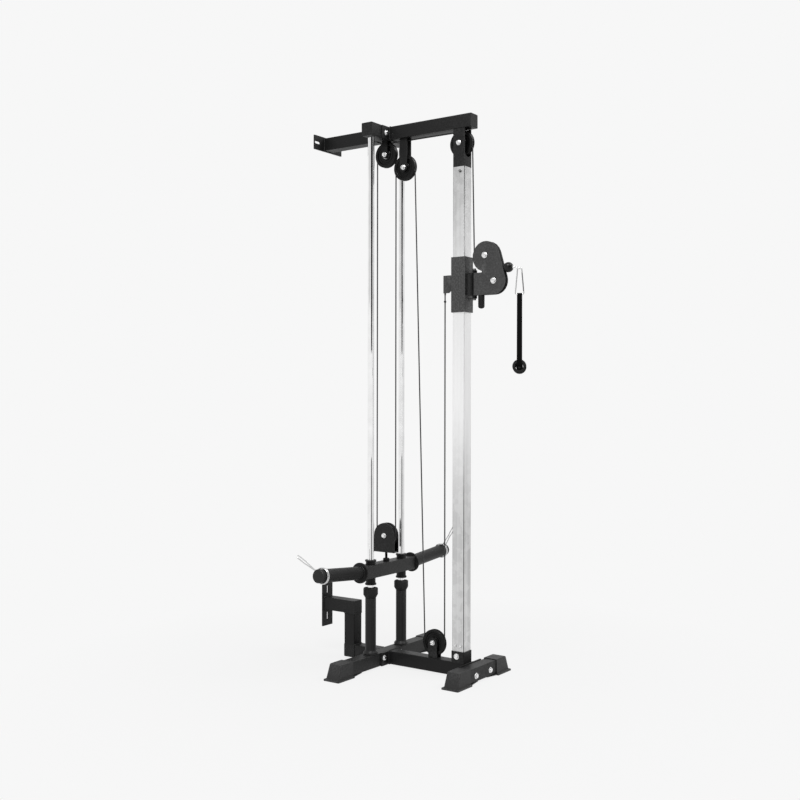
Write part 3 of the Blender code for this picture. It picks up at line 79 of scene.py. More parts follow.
# Frame, rods and bumpers
TUBE = 0.050
FLANGE = 0.006
LOWER_PLATE_HALF_HEIGHT = 0.091
LOWER_POST_FROM_WALL = 0.134
BASE_BOLT = 0.0150
BEAM_BOLT_X = 0.047
BEAM_BOLT_Z = 2.032
SPINE_BOLT_X = 0.054
SPINE_BOLT_Z = 0.036
FOOT_BOLT_X = 0.050
FOOT_BOLT_Z = 0.028
SOCKET_HALF = 0.0285
SOCKET_BOLT_Z = 0.079
SPIGOT_SCREW_Z = 1.853
POST_SCREW_Z = 0.118
ROD_RADIUS = 0.0125
ROD_BORE = 0.0128
SPACER_RADIUS = 0.0205
SPACER_COLLAR_RADIUS = 0.0275
BUMPER_RADIUS = 0.0282
BUMPER_LOBES = 6
BUMPER_GROOVE = 0.0026

# Carriage, horns and collars
SIDES = (("left", -1), ("right", 1))
BUSH_RADIUS = 0.0185
BUSH_RIM_RADIUS = 0.0215
BUSH_RIM = 0.006
STUD_PITCH = 0.0012
HORN_START = 0.164
HORN_RADIUS = 0.0245
HORN_LENGTH = 0.251
HORN_TILT = radians(5.0)
DISC_RADIUS = 0.0385
DISC_THICKNESS = 0.006
COLLAR_WIRE = 0.0022
COLLAR_RING = HORN_RADIUS + 0.0015 + COLLAR_WIRE
COLLAR_TURNS = 2
COLLAR_PITCH = 0.006
COLLAR_START = 0.218
COLLAR_SPREAD = radians(25.0)
COLLAR_BEND = 0.010
COLLAR_NECK = 0.0035
COLLAR_GRIP_HALF = 0.0048
COLLAR_TIP_REACH = 0.135
COLLAR_AIM = {"left": radians(154.0), "right": radians(56.0)}

# Trolley and head
SLEEVE_HALF = 0.030
HINGE_REACH = 0.0125
HINGE_INSET = 0.018
HINGE_PLATE = 0.0007
HINGE_RIB = 0.0013
PIN_KNOB = 0.026
GRIP_RIBS = 9
GRIP_RIB_PITCH = 0.0036

# Cable end, hook and handle
BALL_BORE = 0.0029
BALL_FIT = 1.005
BALL_SEAM = 0.985
BALL_STEPS = 24
EYE_RADIUS = 0.010
EYE_WIRE = 0.002
EYE_DROOP = radians(27.0)
HOOK_WIRE = 0.0025
HOOK_TOP_RADIUS = 0.0075
HOOK_BAR_HALF = 0.0098
HOOK_CORNER = 0.005
HOOK_YAW = radians(28.5)
STRAP_BAND = 0.0022
STRAP_WIDTH = 0.0185
STRAP_BEND = 0.0085
STRAP_SEAT = 0.0006
STRAP_BOW = 0.0010
GRIP_HALF_LENGTH = 0.062
GRIP_RADIUS = 0.0175
GRIP_SWELL = 0.0012
GRIP_BORE = 0.0135
GRIP_END_RADIUS = 0.0245
GRIP_END = 0.008

# Details of the shapes
LATHE_STEPS = 72
SOFT_EDGE = 0.0007
WELD_RADIUS = 0.0024
WELD_CORNER = 0.004
WELD_RIPPLE = 0.0032
WELD_SWELL = 0.16
WELD_SIDES = 8
HEX_SIDES = 6
HEAD_HEIGHT = 0.0052
NUT_HEIGHT = 0.0055
AXLE_HEAD_HEIGHT = 0.0062
WASHER = 0.0014

# Camera
CAMERA_SIDE = -3.3247
CAMERA_FROM_WALL = 2.7140
CAMERA_HEIGHT = 1.0333
CAMERA_AZIMUTH = -54.70
CAMERA_PITCH = -0.24
CAMERA_ROLL = 0.08
CAMERA_LENS = 47.94
SENSOR = 36.0

# Studio
BACKGROUND = 0.93
WORLD_LIGHT = 0.55
FLOOR_LEVEL = 0.60
FLOOR_HALF = 30.0
FLOOR_DROP = 0.0006
SHADOW_SHARE = 0.11
SHADOW_NEAR = 0.55
SHADOW_FAR = 1.5
LAMP_SIZE = 2.4

# Materials: the upright's painted highlight band, strands, moulding rings, weave and stitches
HIGHLIGHT_BAND_HEIGHT = 1.18
HIGHLIGHT_BAND_WOBBLE = 0.22
STRAND_LAY = 0.016
STRANDS = 6
RING_RATE = 5200.0
WEB_THREAD = 0.0013
STITCH_ROW = 0.0085
STITCH_HALF = 0.0006
STITCH_RATE = 1700.0

WALL_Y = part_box("upper_wall_bracket")[1].y


def middle(node):
    low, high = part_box(node)
    return (low + high) / 2


def heights(node):
    """Heights of a node's foot and top."""
    low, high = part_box(node)
    return low.z, high.z


def plumb(node):
    """Point on the floor under a node's middle."""
    centre = middle(node)
    return Vector((centre.x, centre.y, 0))


# Shader building
class Shader:
    """Small builder for node trees: adds nodes, sets their inputs and links them."""

    def __init__(self, tree):
        self.tree = tree

    def add(self, kind, inputs=None, **settings):
        node = self.tree.nodes.new(kind)
        for key, value in settings.items():
            setattr(node, key, value)
        for key, value in (inputs or {}).items():
            self.feed(node, key, value)
        return node

    def feed(self, node, key, value):
        socket = node.inputs[key]
        if isinstance(value, bpy.types.NodeSocket):
            self.tree.links.new(value, socket)
        else:
            socket.default_value = value

    def math(self, operation, first, second=0.0, clamp=False):
        node = self.add("ShaderNodeMath", {0: first, 1: second}, operation=operation, use_clamp=clamp)
        return node.outputs[0]

    def times(self, first, second):
        return self.math("MULTIPLY", first, second)

    def wave(self, value, rate):
        return self.math("SINE", self.times(value, rate))

    def away(self, value, centre):
        """How far a value is from a centre."""
        return self.math("ABSOLUTE", self.math("SUBTRACT", value, centre))

    def length(self, vector):
        return self.add("ShaderNodeVectorMath", {0: vector}, operation="LENGTH").outputs["Value"]

    def span(self, value, low, high, to_low, to_high):
        inputs = {0: value, 1: low, 2: high, 3: to_low, 4: to_high}
        return self.add("ShaderNodeMapRange", inputs, clamp=True).outputs[0]

    def blend(self, share, first, second):
        return self.add("ShaderNodeMix", {0: share, 6: first, 7: second}, data_type="RGBA").outputs[2]

    def noise(self, place, scale, detail, rough=0.5):
        inputs = {"Vector": place, "Scale": scale, "Detail": detail, "Roughness": rough}
        return self.add("ShaderNodeTexNoise", inputs).outputs["Fac"]

    def place(self, kind="Object"):
        return self.add("ShaderNodeTexCoord").outputs[kind]

    def split(self, vector):
        return self.add("ShaderNodeSeparateXYZ", {0: vector}).outputs

    def effect(self, tree, inputs=None):
        """Outputs of a shared node group."""
        return self.add("ShaderNodeGroup", inputs, node_tree=tree).outputs


def new_group(name, inputs, outputs):
    """Node group with float inputs and their defaults, and float outputs."""
    tree = bpy.data.node_groups.new(name, "ShaderNodeTree")
    for label, value in inputs.items():
        socket = tree.interface.new_socket(label, in_out="INPUT", socket_type="NodeSocketFloat")
        socket.default_value = value
    for label in outputs:
        tree.interface.new_socket(label, in_out="OUTPUT", socket_type="NodeSocketFloat")
    shader = Shader(tree)
    given = shader.add("NodeGroupInput").outputs
    return tree, shader, given, shader.add("NodeGroupOutput")


def build_grain_group():
    """Fine grain and slow patches: Grain for bump, Patches for colour and roughness."""
    tree, shader, given, result = new_group(
        "fine_grain", {"Grain Size": 0.0012, "Patch Size": 0.12}, ("Grain", "Patches")
    )
    place = shader.place()
    grain_scale = shader.math("DIVIDE", 1.0, given["Grain Size"])
    patch_scale = shader.math("DIVIDE", 1.0, given["Patch Size"])
    patches = shader.noise(place, patch_scale, 5.0, 0.6)
    shader.feed(result, "Grain", shader.noise(place, grain_scale, 2.0))
    shader.feed(result, "Patches", shader.span(patches, 0.3, 0.7, 0.0, 1.0))
    return tree


def build_edge_group():
    """Mask of convex edges, broken up by noise: rub wear together with a painted edge highlight."""
    tree, shader, given, result = new_group(
        "edge_wear_and_highlight", {"Amount": 0.5, "Break Size": 0.006}, ("Mask",)
    )
    point = shader.add("ShaderNodeNewGeometry").outputs["Pointiness"]
    ridge = shader.span(point, 0.515, 0.60, 0.0, 1.0)
    scale = shader.math("DIVIDE", 1.0, given["Break Size"])
    broken = shader.span(shader.noise(shader.place(), scale, 3.0), 0.42, 0.62, 0.15, 1.0)
    wear_and_edge_highlight = shader.math("MULTIPLY", shader.times(ridge, broken), given["Amount"], clamp=True)
    shader.feed(result, "Mask", wear_and_edge_highlight)
    return tree


def build_streak_group():
    """Lengthwise streaks along Z, as on drawn or brushed metal."""
    tree, shader, given, result = new_group(
        "draw_streaks", {"Width": 0.0015, "Length": 0.25}, ("Fine", "Broad")
    )
    across = shader.math("DIVIDE", 1.0, given["Width"])
    along = shader.math("DIVIDE", 1.0, given["Length"])
    stretch = shader.add("ShaderNodeCombineXYZ", {"X": across, "Y": across, "Z": along})
    inputs = {0: shader.place(), 1: stretch.outputs[0]}
    squeezed = shader.add("ShaderNodeVectorMath", inputs, operation="MULTIPLY").outputs[0]
    broad = shader.noise(squeezed, 0.09, 3.0)
    shader.feed(result, "Fine", shader.noise(squeezed, 1.0, 2.0))
    shader.feed(result, "Broad", shader.span(broad, 0.3, 0.7, 0.0, 1.0))
    return tree


GRAIN = build_grain_group()
EDGES = build_edge_group()
STREAKS = build_streak_group()


class Surface(Shader):
    """Builder for a new material, which starts with its main surface."""

    def __init__(self, name, metallic=0.0):
        self.material = bpy.data.materials.new(name)
        self.material.use_nodes = True
        super().__init__(self.material.node_tree)
        self.main = self.tree.nodes["Principled BSDF"]
        self.set("Metallic", metallic)

    def set(self, key, value):
        self.feed(self.main, key, value)

    def finish(self, colour, share, rough, height, relief, specular=0.5):
        """Set the colour, a roughness that a share takes from a pair, and the relief."""
        bump = self.add("ShaderNodeBump", {"Height": height, "Distance": relief, "Strength": 1.0})
        self.set("Base Color", colour)
        self.set("Roughness", self.span(share, 0.0, 1.0, *rough))
        self.set("Specular IOR Level", specular)
        self.set("Normal", bump.outputs["Normal"])
        return self.material


def grey(level):
    return (level, level, level, 1.0)


def coat_material(name, level, rough, specular, grain_size=0.0011, relief=0.00006):
    """Textured powder coat or plastic, a little lighter along its edges: rub wear together with a
    painted edge highlight.
    """
    shader = Surface(name)
    grain = shader.effect(GRAIN, {"Grain Size": grain_size})
    wear_and_highlight = shader.effect(EDGES, {"Amount": 0.55})["Mask"]
    patches = grain["Patches"]
    coat = shader.blend(patches, grey(level * 0.86), grey(level * 1.16))
    # Lighter edges: rub wear together with a painted edge highlight.
    colour = shader.blend(wear_and_highlight, coat, grey(level * 3.2 + 0.02))
    ends = (rough - 0.05, rough + 0.06)
    return shader.finish(colour, patches, ends, grain["Grain"], relief, specular)


def metal_material(name, level, rough, relief=0.000012):
    """Plated metal with faint smears."""
    shader = Surface(name, 1.0)
    grain = shader.effect(GRAIN, {"Patch Size": 0.05})
    patches = grain["Patches"]
    colour = shader.blend(patches, grey(level * 0.90), grey(level * 1.05))
    ends = (rough * 1.25, rough * 0.85)
    return shader.finish(colour, patches, ends, grain["Grain"], relief)


def upright_material():
    """Drawn, plated tube: streaks, dull ends, painted dark reflections along its corners and a painted
    highlight band part way up.
    """
    shader = Surface("drawn_upright_plate", 1.0)
    streaks = shader.effect(STREAKS)
    fine, broad = streaks["Fine"], streaks["Broad"]
    place = shader.split(shader.place())
    # Painted highlight: a brighter band part way up the tube, its edge wobbling with the broad
    # streaks.
    wobble = shader.times(shader.math("SUBTRACT", broad, 0.5), HIGHLIGHT_BAND_WOBBLE)
    distance = shader.math("ADD", shader.away(place["Z"], HIGHLIGHT_BAND_HEIGHT), wobble)
    wear_and_highlight = shader.span(distance, 0.20, 0.62, 1.0, 0.0)
    patches = shader.effect(GRAIN, {"Patch Size": 0.035})["Patches"]
    scuffs = shader.span(patches, 0.42, 0.62, 0.0, 0.40)
    dull = shader.blend(scuffs, shader.blend(broad, grey(0.54), grey(0.70)), grey(0.84))
    streaked = shader.blend(shader.span(fine, 0.35, 0.7, 0.0, 0.22), dull, grey(0.45))
    # Near-white colour of the painted highlight band.
    bright = shader.blend(broad, grey(0.93), grey(1.0))
    base = shader.blend(wear_and_highlight, streaked, bright)
    centre = middle("upright")
    across = shader.away(place["X"], centre.x)
    along = shader.away(place["Y"], centre.y)
    corner = shader.math("MINIMUM", across, along)
    # Painted dark reflection along the tube's rounded corners, weaker inside the painted highlight
    # band.
    dark = shader.span(corner, TUBE / 2 - 0.0027, TUBE / 2 - 0.0017, 0.0, 1.0)
    dark = shader.times(dark, shader.span(wear_and_highlight, 0.0, 0.6, 1.0, 0.15))
    colour = shader.blend(dark, base, grey(0.02))
    return shader.finish(colour, broad, (0.42, 0.30), fine, 0.00002)


def rubber_material(name, level, rough, pore_size, relief):
    """Matte rubber or foam with pores."""
    shader = Surface(name)
    pores = shader.add("ShaderNodeTexVoronoi", {"Vector": shader.place(), "Scale": 1.0 / pore_size})
    patches = shader.effect(GRAIN, {"Patch Size": 0.03})["Patches"]
    colour = shader.blend(patches, grey(level * 0.8), grey(level * 1.3))
    ends = (rough, min(1.0, rough + 0.1))
    return shader.finish(colour, patches, ends, pores.outputs["Distance"], relief, 0.3)


def turned_material(name, level, rough):
    """Moulded nylon with faint rings round the object's X axis."""
    shader = Surface(name)
    place = shader.split(shader.place())
    flat = shader.add("ShaderNodeCombineXYZ", {"Y": place["Y"], "Z": place["Z"]})
    rings = shader.wave(shader.length(flat.outputs[0]), RING_RATE)
    wear_and_edge_highlight = shader.effect(EDGES, {"Amount": 0.35})["Mask"]
    patches = shader.effect(GRAIN, {"Patch Size": 0.02})["Patches"]
    base = shader.blend(patches, grey(level * 0.8), grey(level * 1.25))
    # Lighter edges: rub wear together with a painted edge highlight.
    colour = shader.blend(wear_and_edge_highlight, base, grey(level * 3 + 0.02))
    ends = (rough - 0.05, rough + 0.08)
    return shader.finish(colour, patches, ends, rings, 0.00002, 0.22)


def cable_material():
    """Black coating over twisted strands; UV holds the turn and the length in metres."""
    shader = Surface("coated_cable")
    place = shader.split(shader.place("UV"))
    turn = shader.times(place["X"], float(STRANDS))
    run = shader.math("DIVIDE", place["Y"], STRAND_LAY / STRANDS)
    twist = shader.math("ABSOLUTE", shader.wave(shader.math("ADD", turn, run), pi))
    colour = shader.blend(twist, grey(0.005), grey(0.020))
    return shader.finish(colour, twist, (0.5, 0.28), twist, 0.00022)


def webbing_material():
    """Woven webbing with two stitch rows; UV is in metres across and along."""
    shader = Surface("woven_webbing")
    place = shader.split(shader.place("UV"))
    across, along = place["X"], place["Y"]
    warp = shader.wave(across, 2 * pi / WEB_THREAD)
    weft = shader.wave(along, 2 * pi / (WEB_THREAD * 1.2))
    raised = shader.math("ADD", shader.times(shader.times(warp, weft), 0.35), 0.5)
    row = shader.away(shader.math("ABSOLUTE", across), STITCH_ROW)
    near = shader.math("LESS_THAN", row, STITCH_HALF)
    dash = shader.math("GREATER_THAN", shader.wave(along, STITCH_RATE), -0.35)
    stitch = shader.times(near, dash)
    cloth = shader.blend(raised, grey(0.0008), grey(0.0030))
    colour = shader.blend(stitch, cloth, grey(0.008))
    height = shader.math("ADD", raised, shader.times(stitch, 0.8))
    shader.set("Sheen Weight", 0.02)
    return shader.finish(colour, raised, (0.95, 0.8), height, 0.0002, 0.06)


MATERIALS = {
    "frame_coat": coat_material("frame_powder_coat", 0.0062, 0.46, 0.20),
    "head_coat": coat_material("head_powder_coat", 0.033, 0.55, 0.26, 0.0008),
    "block_coat": coat_material("block_powder_coat", 0.0065, 0.42, 0.24),
    "shoe": coat_material("moulded_shoe_plastic", 0.015, 0.52, 0.30, 0.0016, 0.00010),
    "cap": coat_material("pebbled_cap_plastic", 0.004, 0.42, 0.35, 0.0030, 0.00045),
    "knob": coat_material("smooth_knob_plastic", 0.006, 0.35, 0.4, 0.002, 0.00003),
    # Near-black for the threaded stud, and painted shade round the hinge.
    "stud_black_and_hinge_shade": coat_material("stud_black_and_hinge_shade", 0.0015, 0.30, 0.15, 0.002, 0.00002),
    "upright": upright_material(),
    "rod": metal_material("polished_rod_plate", 0.92, 0.05, 0.0000006),
    "bright": metal_material("bright_clip_plate", 0.88, 0.10),
    "wire": metal_material("collar_wire_plate", 0.66, 0.22),
    "zinc": metal_material("bright_bolt_zinc", 0.88, 0.22),
    "steel": metal_material("dull_hinge_steel", 0.22, 0.38),
    "dark_steel": metal_material("dark_gate_steel", 0.30, 0.22),
    "wheel": turned_material("moulded_wheel_nylon", 0.0018, 0.24),
    "bearing": metal_material("bearing_steel", 0.40, 0.25),
    "bush": turned_material("bushing_nylon", 0.003, 0.40),
    "rubber": rubber_material("bumper_rubber", 0.0045, 0.60, 0.0014, 0.00012),
    "ball": rubber_material("ball_rubber", 0.0025, 0.26, 0.0009, 0.00001),
    "foam": rubber_material("grip_foam", 0.0045, 0.70, 0.0007, 0.00018),
    "liner": rubber_material("liner_plastic", 0.55, 0.50, 0.003, 0.00003),
    "cable": cable_material(),
    "webbing": webbing_material(),
}


# Shape building
def finish_piece(item, name, body, material, replaced=(), smooth=40.0):
    """Name a shape, paint it and let it ride on a CAD body."""
    item.name = name
    item.data.name = name
    item.data.materials.clear()
    item.data.materials.append(MATERIALS[material])
    item.data.shade_smooth()
    item.data.set_sharp_from_angle(angle=radians(smooth))
    if replaced:
        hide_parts(*replaced)
    if body:
        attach(item, body)


def object_from(shape):
    mesh = bpy.data.meshes.new("shape")
    shape.to_mesh(mesh)
    shape.free()
    item = bpy.data.objects.new("shape", mesh)
    bpy.context.scene.collection.objects.link(item)
    return item


def merge(items):
    """Join several mesh objects into the first one."""
    first = items[0]
    bpy.context.view_layer.update()
    shape = bmesh.new()
    back = first.matrix_world.inverted()
    for item in items:
        start = len(shape.verts)
        shape.from_mesh(item.data)
        shape.verts.ensure_lookup_table()
        move = back @ item.matrix_world
        for vertex in shape.verts[start:]:
            vertex.co = move @ vertex.co
    shape.to_mesh(first.data)
    shape.free()
    for item in items[1:]:
        bpy.data.objects.remove(item, do_unlink=True)
    return first


def circle(steps):
    """Angles of even steps round a full turn."""
    return [2 * pi * step / steps for step in range(steps)]


def sweep(start, end, steps):
    """Angles of even steps from start to end, with both ends."""
    return [start + (end - start) * step / steps for step in range(steps + 1)]


def mirrored(points):
    """The points in reverse order, on the other side of zero."""
    return [(-along, reach) for along, reach in reversed(points)]


def loft(rings, wrap=False):
    """Mesh through rings of equal point counts, capped unless it wraps round."""
    shape = bmesh.new()
    rows = [[shape.verts.new(point) for point in ring] for ring in rings]
    count = len(rows[0])
    pairs = list(zip(rows, rows[1:]))
    if wrap:
        pairs.append((rows[-1], rows[0]))
    for lower, upper in pairs:
        for index in range(count):
            after = (index + 1) % count
            shape.faces.new((lower[index], lower[after], upper[after], upper[index]))
    if not wrap:
        shape.faces.new(rows[0])
        shape.faces.new(rows[-1])
    bmesh.ops.recalc_face_normals(shape, faces=shape.faces)
    return object_from(shape)


def facing(direction):
    return Vector(direction).normalized().to_track_quat("Z", "Y").to_matrix()


def ring_round(turn, along, radii):
    """Ring of points round a turned Z axis, with a radius for each of them."""
    points = []
    for angle, radius in zip(circle(len(radii)), radii):
        spot = (radius * cos(angle), radius * sin(angle), along)
        points.append(turn @ Vector(spot))
    return points


def lathe(direction, centre, profile, steps=LATHE_STEPS, bored=False):
    """Turned shape from (distance along, radius) pairs; its origin is at the centre."""
    turn = facing(direction)
    rings = [ring_round(turn, along, [radius] * steps) for along, radius in profile]
    item = loft(rings, wrap=bored)
    item.location = centre
    return item


def softened(node, name, body, material, edge=SOFT_EDGE, segments=2):
    """Copy of a CAD node with its sharp edges rounded over."""
    item = bpy.data.objects.new(name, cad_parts[node].data.copy())
    bpy.context.scene.collection.objects.link(item)
    shape = bmesh.new()
    shape.from_mesh(item.data)
    bmesh.ops.remove_doubles(shape, verts=shape.verts, dist=0.00002)
    bmesh.ops.dissolve_limit(
        shape, angle_limit=radians(1.0), verts=shape.verts, edges=shape.edges
    )
    if edge:
        sharp = [
            line
            for line in shape.edges
            if len(line.link_faces) == 2 and line.calc_face_angle(0.0) > radians(55)
        ]
        settings = {"segments": segments, "profile": 0.5, "clamp_overlap": True}
        bmesh.ops.bevel(
            shape, geom=sharp, offset=edge, offset_type="OFFSET", affect="EDGES", **settings
        )
    shape.to_mesh(item.data)
    shape.free()
    finish_piece(item, name, body, material, (node,), smooth=50.0)
    even = item.modifiers.new("even_flats", "WEIGHTED_NORMAL")
    even.keep_sharp = True
    return item


def skin(rows, spans, path, closed):
    """Quads over rows of points along a path, with UV as (span across, metres along)."""
    shape = bmesh.new()
    layer = shape.loops.layers.uv.new("UVMap")
    rings = [[shape.verts.new(point) for point in row] for row in rows]
    lengths = [0.0]
    for start, end in zip(path, path[1:] + path[:1]):
        lengths.append(lengths[-1] + math.dist(start, end))
    sides = len(rows[0])
    for index in range(len(rings) - (0 if closed else 1)):
        lower, upper = rings[index], rings[(index + 1) % len(rings)]
        for step in range(sides):
            after = (step + 1) % sides
            face = shape.faces.new((lower[step], lower[after], upper[after], upper[step]))
            corners = ((step, index), (step + 1, index), (step + 1, index + 1), (step, index + 1))
            for loop, (side, place) in zip(face.loops, corners):
                loop[layer].uv = (spans[side], lengths[place])
    if not closed:
        shape.faces.new(list(reversed(rings[0])))
        shape.faces.new(rings[-1])
    return shape


def tube_along(points, radius, sides=CABLE_SIDES, closed=False):
    """Round tube through points, with UV as (turn, metres along)."""
    count = len(points)
    tangents = []
    for index in range(count):
        before = points[index - 1] if index or closed else points[index]
        after = points[(index + 1) % count] if index < count - 1 or closed else points[index]
        tangents.append((after - before).normalized())
    side = tangents[0].orthogonal().normalized()
    rows = []
    for point, tangent in zip(points, tangents):
        side = (side - tangent * side.dot(tangent)).normalized()
        up = tangent.cross(side)
        row = []
        for angle in circle(sides):
            offset = side * (radius * cos(angle)) + up * (radius * sin(angle))
            row.append(point + offset)
        rows.append(row)
    spans = [step / sides for step in range(sides + 1)]
    return object_from(skin(rows, spans, points, closed))


def weld_bead(corners):
    """Closed weld bead with ripples, through the corners of a path."""
    route = []
    for start, end in zip(corners, corners[1:] + corners[:1]):
        steps = max(2, round((end - start).length / WELD_RIPPLE * 2))
        route += [start.lerp(end, step / steps) for step in range(steps)]
    bead = tube_along(route, WELD_RADIUS, WELD_SIDES, closed=True)
    for index, vertex in enumerate(bead.data.vertices):
        ring = index // WELD_SIDES
        swell = 1.0 + WELD_SWELL * (1 if ring % 2 else -1)
        vertex.co = route[ring] + (vertex.co - route[ring]) * swell
    return bead


def square_path(axis, y, z):
    """Closed path round the outside of a frame tube that runs along an axis."""
    centre = Vector((0, y, z))
    flat = TUBE / 2 - WELD_CORNER
    points = []
    for quarter, (side_a, side_b) in enumerate(((1, 1), (-1, 1), (-1, -1), (1, -1))):
        for step in range(3):
            angle = pi / 2 * (quarter + step / 2)
            a = side_a * flat + WELD_CORNER * cos(angle)
            b = side_b * flat + WELD_CORNER * sin(angle)
            points.append(centre + Vector((a, 0, b) if axis == "Y" else (a, b, 0)))
    return points


def welds(name, places):
    beads = [weld_bead(square_path(*place)) for place in places]
    finish_piece(merge(beads), name, "frame", "frame_coat", smooth=80.0)


def hex_head(direction, seat, across, height, washer_radius):
    """Washer and hexagon head with a chamfered crown, standing on a seat."""
    turn = facing(direction)
    corner = across / math.sqrt(3)
    wedge = pi / HEX_SIDES
    angles = circle(HEX_SIDES * 6)
    levels = []
    for along, share in ((0.0, 0.97), (0.0004, 1.0), (height - 0.0012, 1.0)):
        flat = corner * share * cos(wedge)
        radii = [flat / cos(angle % (2 * wedge) - wedge) for angle in angles]
        levels.append(ring_round(turn, along + WASHER, radii))
    for rise, share in ((-0.0003, 0.485), (0.0, 0.45), (0.0004, 0.2)):
        radii = [across * share] * len(angles)
        levels.append(ring_round(turn, height + rise + WASHER, radii))
    head = loft(levels)
    head.location = seat
    washer = [
        (0.0, washer_radius - 0.0002), (0.0002, washer_radius), (WASHER - 0.0003, washer_radius),
        (WASHER, washer_radius - 0.0004), (WASHER, corner * 0.6),
    ]
    return [lathe(direction, seat, washer, 36), head]


def lock_nut(direction, seat, across):
    """Washer and lock nut with its collar and the bolt's end."""
    tip = [
        (0.0060, across * 0.40), (0.0078, across * 0.40), (0.0084, across * 0.36),
        (0.0084, across * 0.27), (0.0092, across * 0.26), (0.0096, across * 0.22),
    ]
    parts = hex_head(direction, seat, across, NUT_HEIGHT, across * 0.68)
    return parts + [lathe(direction, seat, tip, 24)]


def bolts(name, seats, nuts, across, material="zinc"):
    """Bolt heads on the frame at seats given as (direction, point), and lock nuts likewise."""
    parts = []
    for direction, point in seats:
        parts += hex_head(direction, point, across, HEAD_HEIGHT, across * 0.72)
    for direction, point in nuts:
        parts += lock_nut(direction, point, across)
    finish_piece(merge(parts), name, "frame", material, smooth=30.0)


# Camera, floor and light
def build_camera():
    data = bpy.data.cameras.new("camera")
    data.sensor_fit = "HORIZONTAL"
    data.sensor_width = SENSOR
    data.lens = CAMERA_LENS
    camera = bpy.data.objects.new("camera", data)
    camera.location = (CAMERA_SIDE, WALL_Y - CAMERA_FROM_WALL, CAMERA_HEIGHT)
    camera.rotation_euler = (
        radians(90.0 + CAMERA_PITCH),
        radians(-CAMERA_ROLL),
        radians(CAMERA_AZIMUTH),
    )
    bpy.context.scene.collection.objects.link(camera)
    bpy.context.scene.camera = camera


def seen_or_mirrored(shader):
    """1 for camera, glossy and transmission rays."""
    path = shader.add("ShaderNodeLightPath").outputs
    seen = shader.math("MAXIMUM", path["Is Camera Ray"], path["Is Glossy Ray"])
    return shader.math("MAXIMUM", seen, path["Is Transmission Ray"])


def build_world():
    """Even light, and a paler backdrop for what the camera and reflections see."""
    world = bpy.data.worlds.new("studio")
    world.use_nodes = True
    bpy.context.scene.world = world
    shader = Shader(world.node_tree)
    background = world.node_tree.nodes["Background"]
    shader.feed(background, "Color", grey(1.0))
    strength = shader.span(seen_or_mirrored(shader), 0.0, 1.0, WORLD_LIGHT, BACKGROUND)
    shader.feed(background, "Strength", strength)


def stage_grid(name, half):
    """Flat square for the studio, and the builder of its material."""
    shape = bmesh.new()
    bmesh.ops.create_grid(shape, x_segments=1, y_segments=1, size=half)
    item = object_from(shape)
    item.name = name
    shader = Surface(name)
    shader.set("Specular IOR Level", 0.0)
    item.data.materials.append(shader.material)
    return item, shader


def build_floor():
    """Floor that shows only a faint shadow close to the part."""
    floor, shader = stage_grid("studio_floor", FLOOR_HALF)
    floor.location = (0.0, 0.0, -FLOOR_DROP)
    shader.set("Base Color", grey(FLOOR_LEVEL))
    shader.set("Roughness", 0.9)
    glow = shader.add("ShaderNodeEmission", {"Color": grey(1.0), "Strength": BACKGROUND})
    away = shader.length(shader.place())
    plain = shader.span(away, SHADOW_NEAR, SHADOW_FAR, 1.0 - SHADOW_SHARE, 1.0)
    share = shader.times(seen_or_mirrored(shader), plain)
    inputs = {0: share, 1: shader.main.outputs[0], 2: glow.outputs[0]}
    mix = shader.add("ShaderNodeMixShader", inputs)
    shader.feed(shader.tree.nodes["Material Output"], "Surface", mix.outputs[0])


def build_lamp(name, place, aim_height, power):
    data = bpy.data.lights.new(name, "AREA")
    data.shape = "RECTANGLE"
    data.size = LAMP_SIZE
    data.size_y = LAMP_SIZE
    data.energy = power
    lamp = bpy.data.objects.new(name, data)
    lamp.location = place
    aim = Vector((0.0, 0.0, aim_height)) - Vector(place)
    lamp.rotation_euler = aim.to_track_quat("-Z", "Y").to_euler()
    bpy.context.scene.collection.objects.link(lamp)


def build_card(name, place, width, low, high, level, taper=1.0):
    """Card that only reflections see; it draws the grey and dark bands down plated metal."""
    card, shader = stage_grid(name, 0.5)
    for corner in card.data.vertices:
        if corner.co.y < 0:
            corner.co.x *= taper
    card.scale = (width, high - low, 1.0)
    centre = Vector((*place, (low + high) / 2))
    card.location = centre
    aim = Vector((0.0, 0.1, centre.z))
    card.rotation_euler = (aim - centre).to_track_quat("-Z", "Y").to_euler()
    shader.set("Base Color", grey(0.0))
    shader.set("Emission Color", grey(level))
    shader.set("Emission Strength", 1.0)
    card.visible_camera = False
    card.visible_diffuse = False
    card.visible_shadow = False


def build_studio():
    build_camera()
    build_world()
    build_floor()
    build_lamp("key_lamp", (-3.0, -1.4, 4.7), aim_height=1.1, power=200.0)
    build_lamp("front_lamp", (1.5, -3.4, 4.5), aim_height=1.0, power=130.0)
    dark_place = (-1.28, -1.87)
    build_card("upper_dark_card", dark_place, 4.6, low=1.30, high=3.6, level=0.008, taper=0.36)
    build_card("lower_dark_card", dark_place, 1.3, low=0.0, high=0.66, level=0.05)
    build_card("upper_left_card", (-2.45, 0.95), 3.5, low=1.60, high=3.8, level=0.72)
    build_card("side_card", (1.67, -1.90), 3.2, low=0.0, high=3.6, level=0.74)


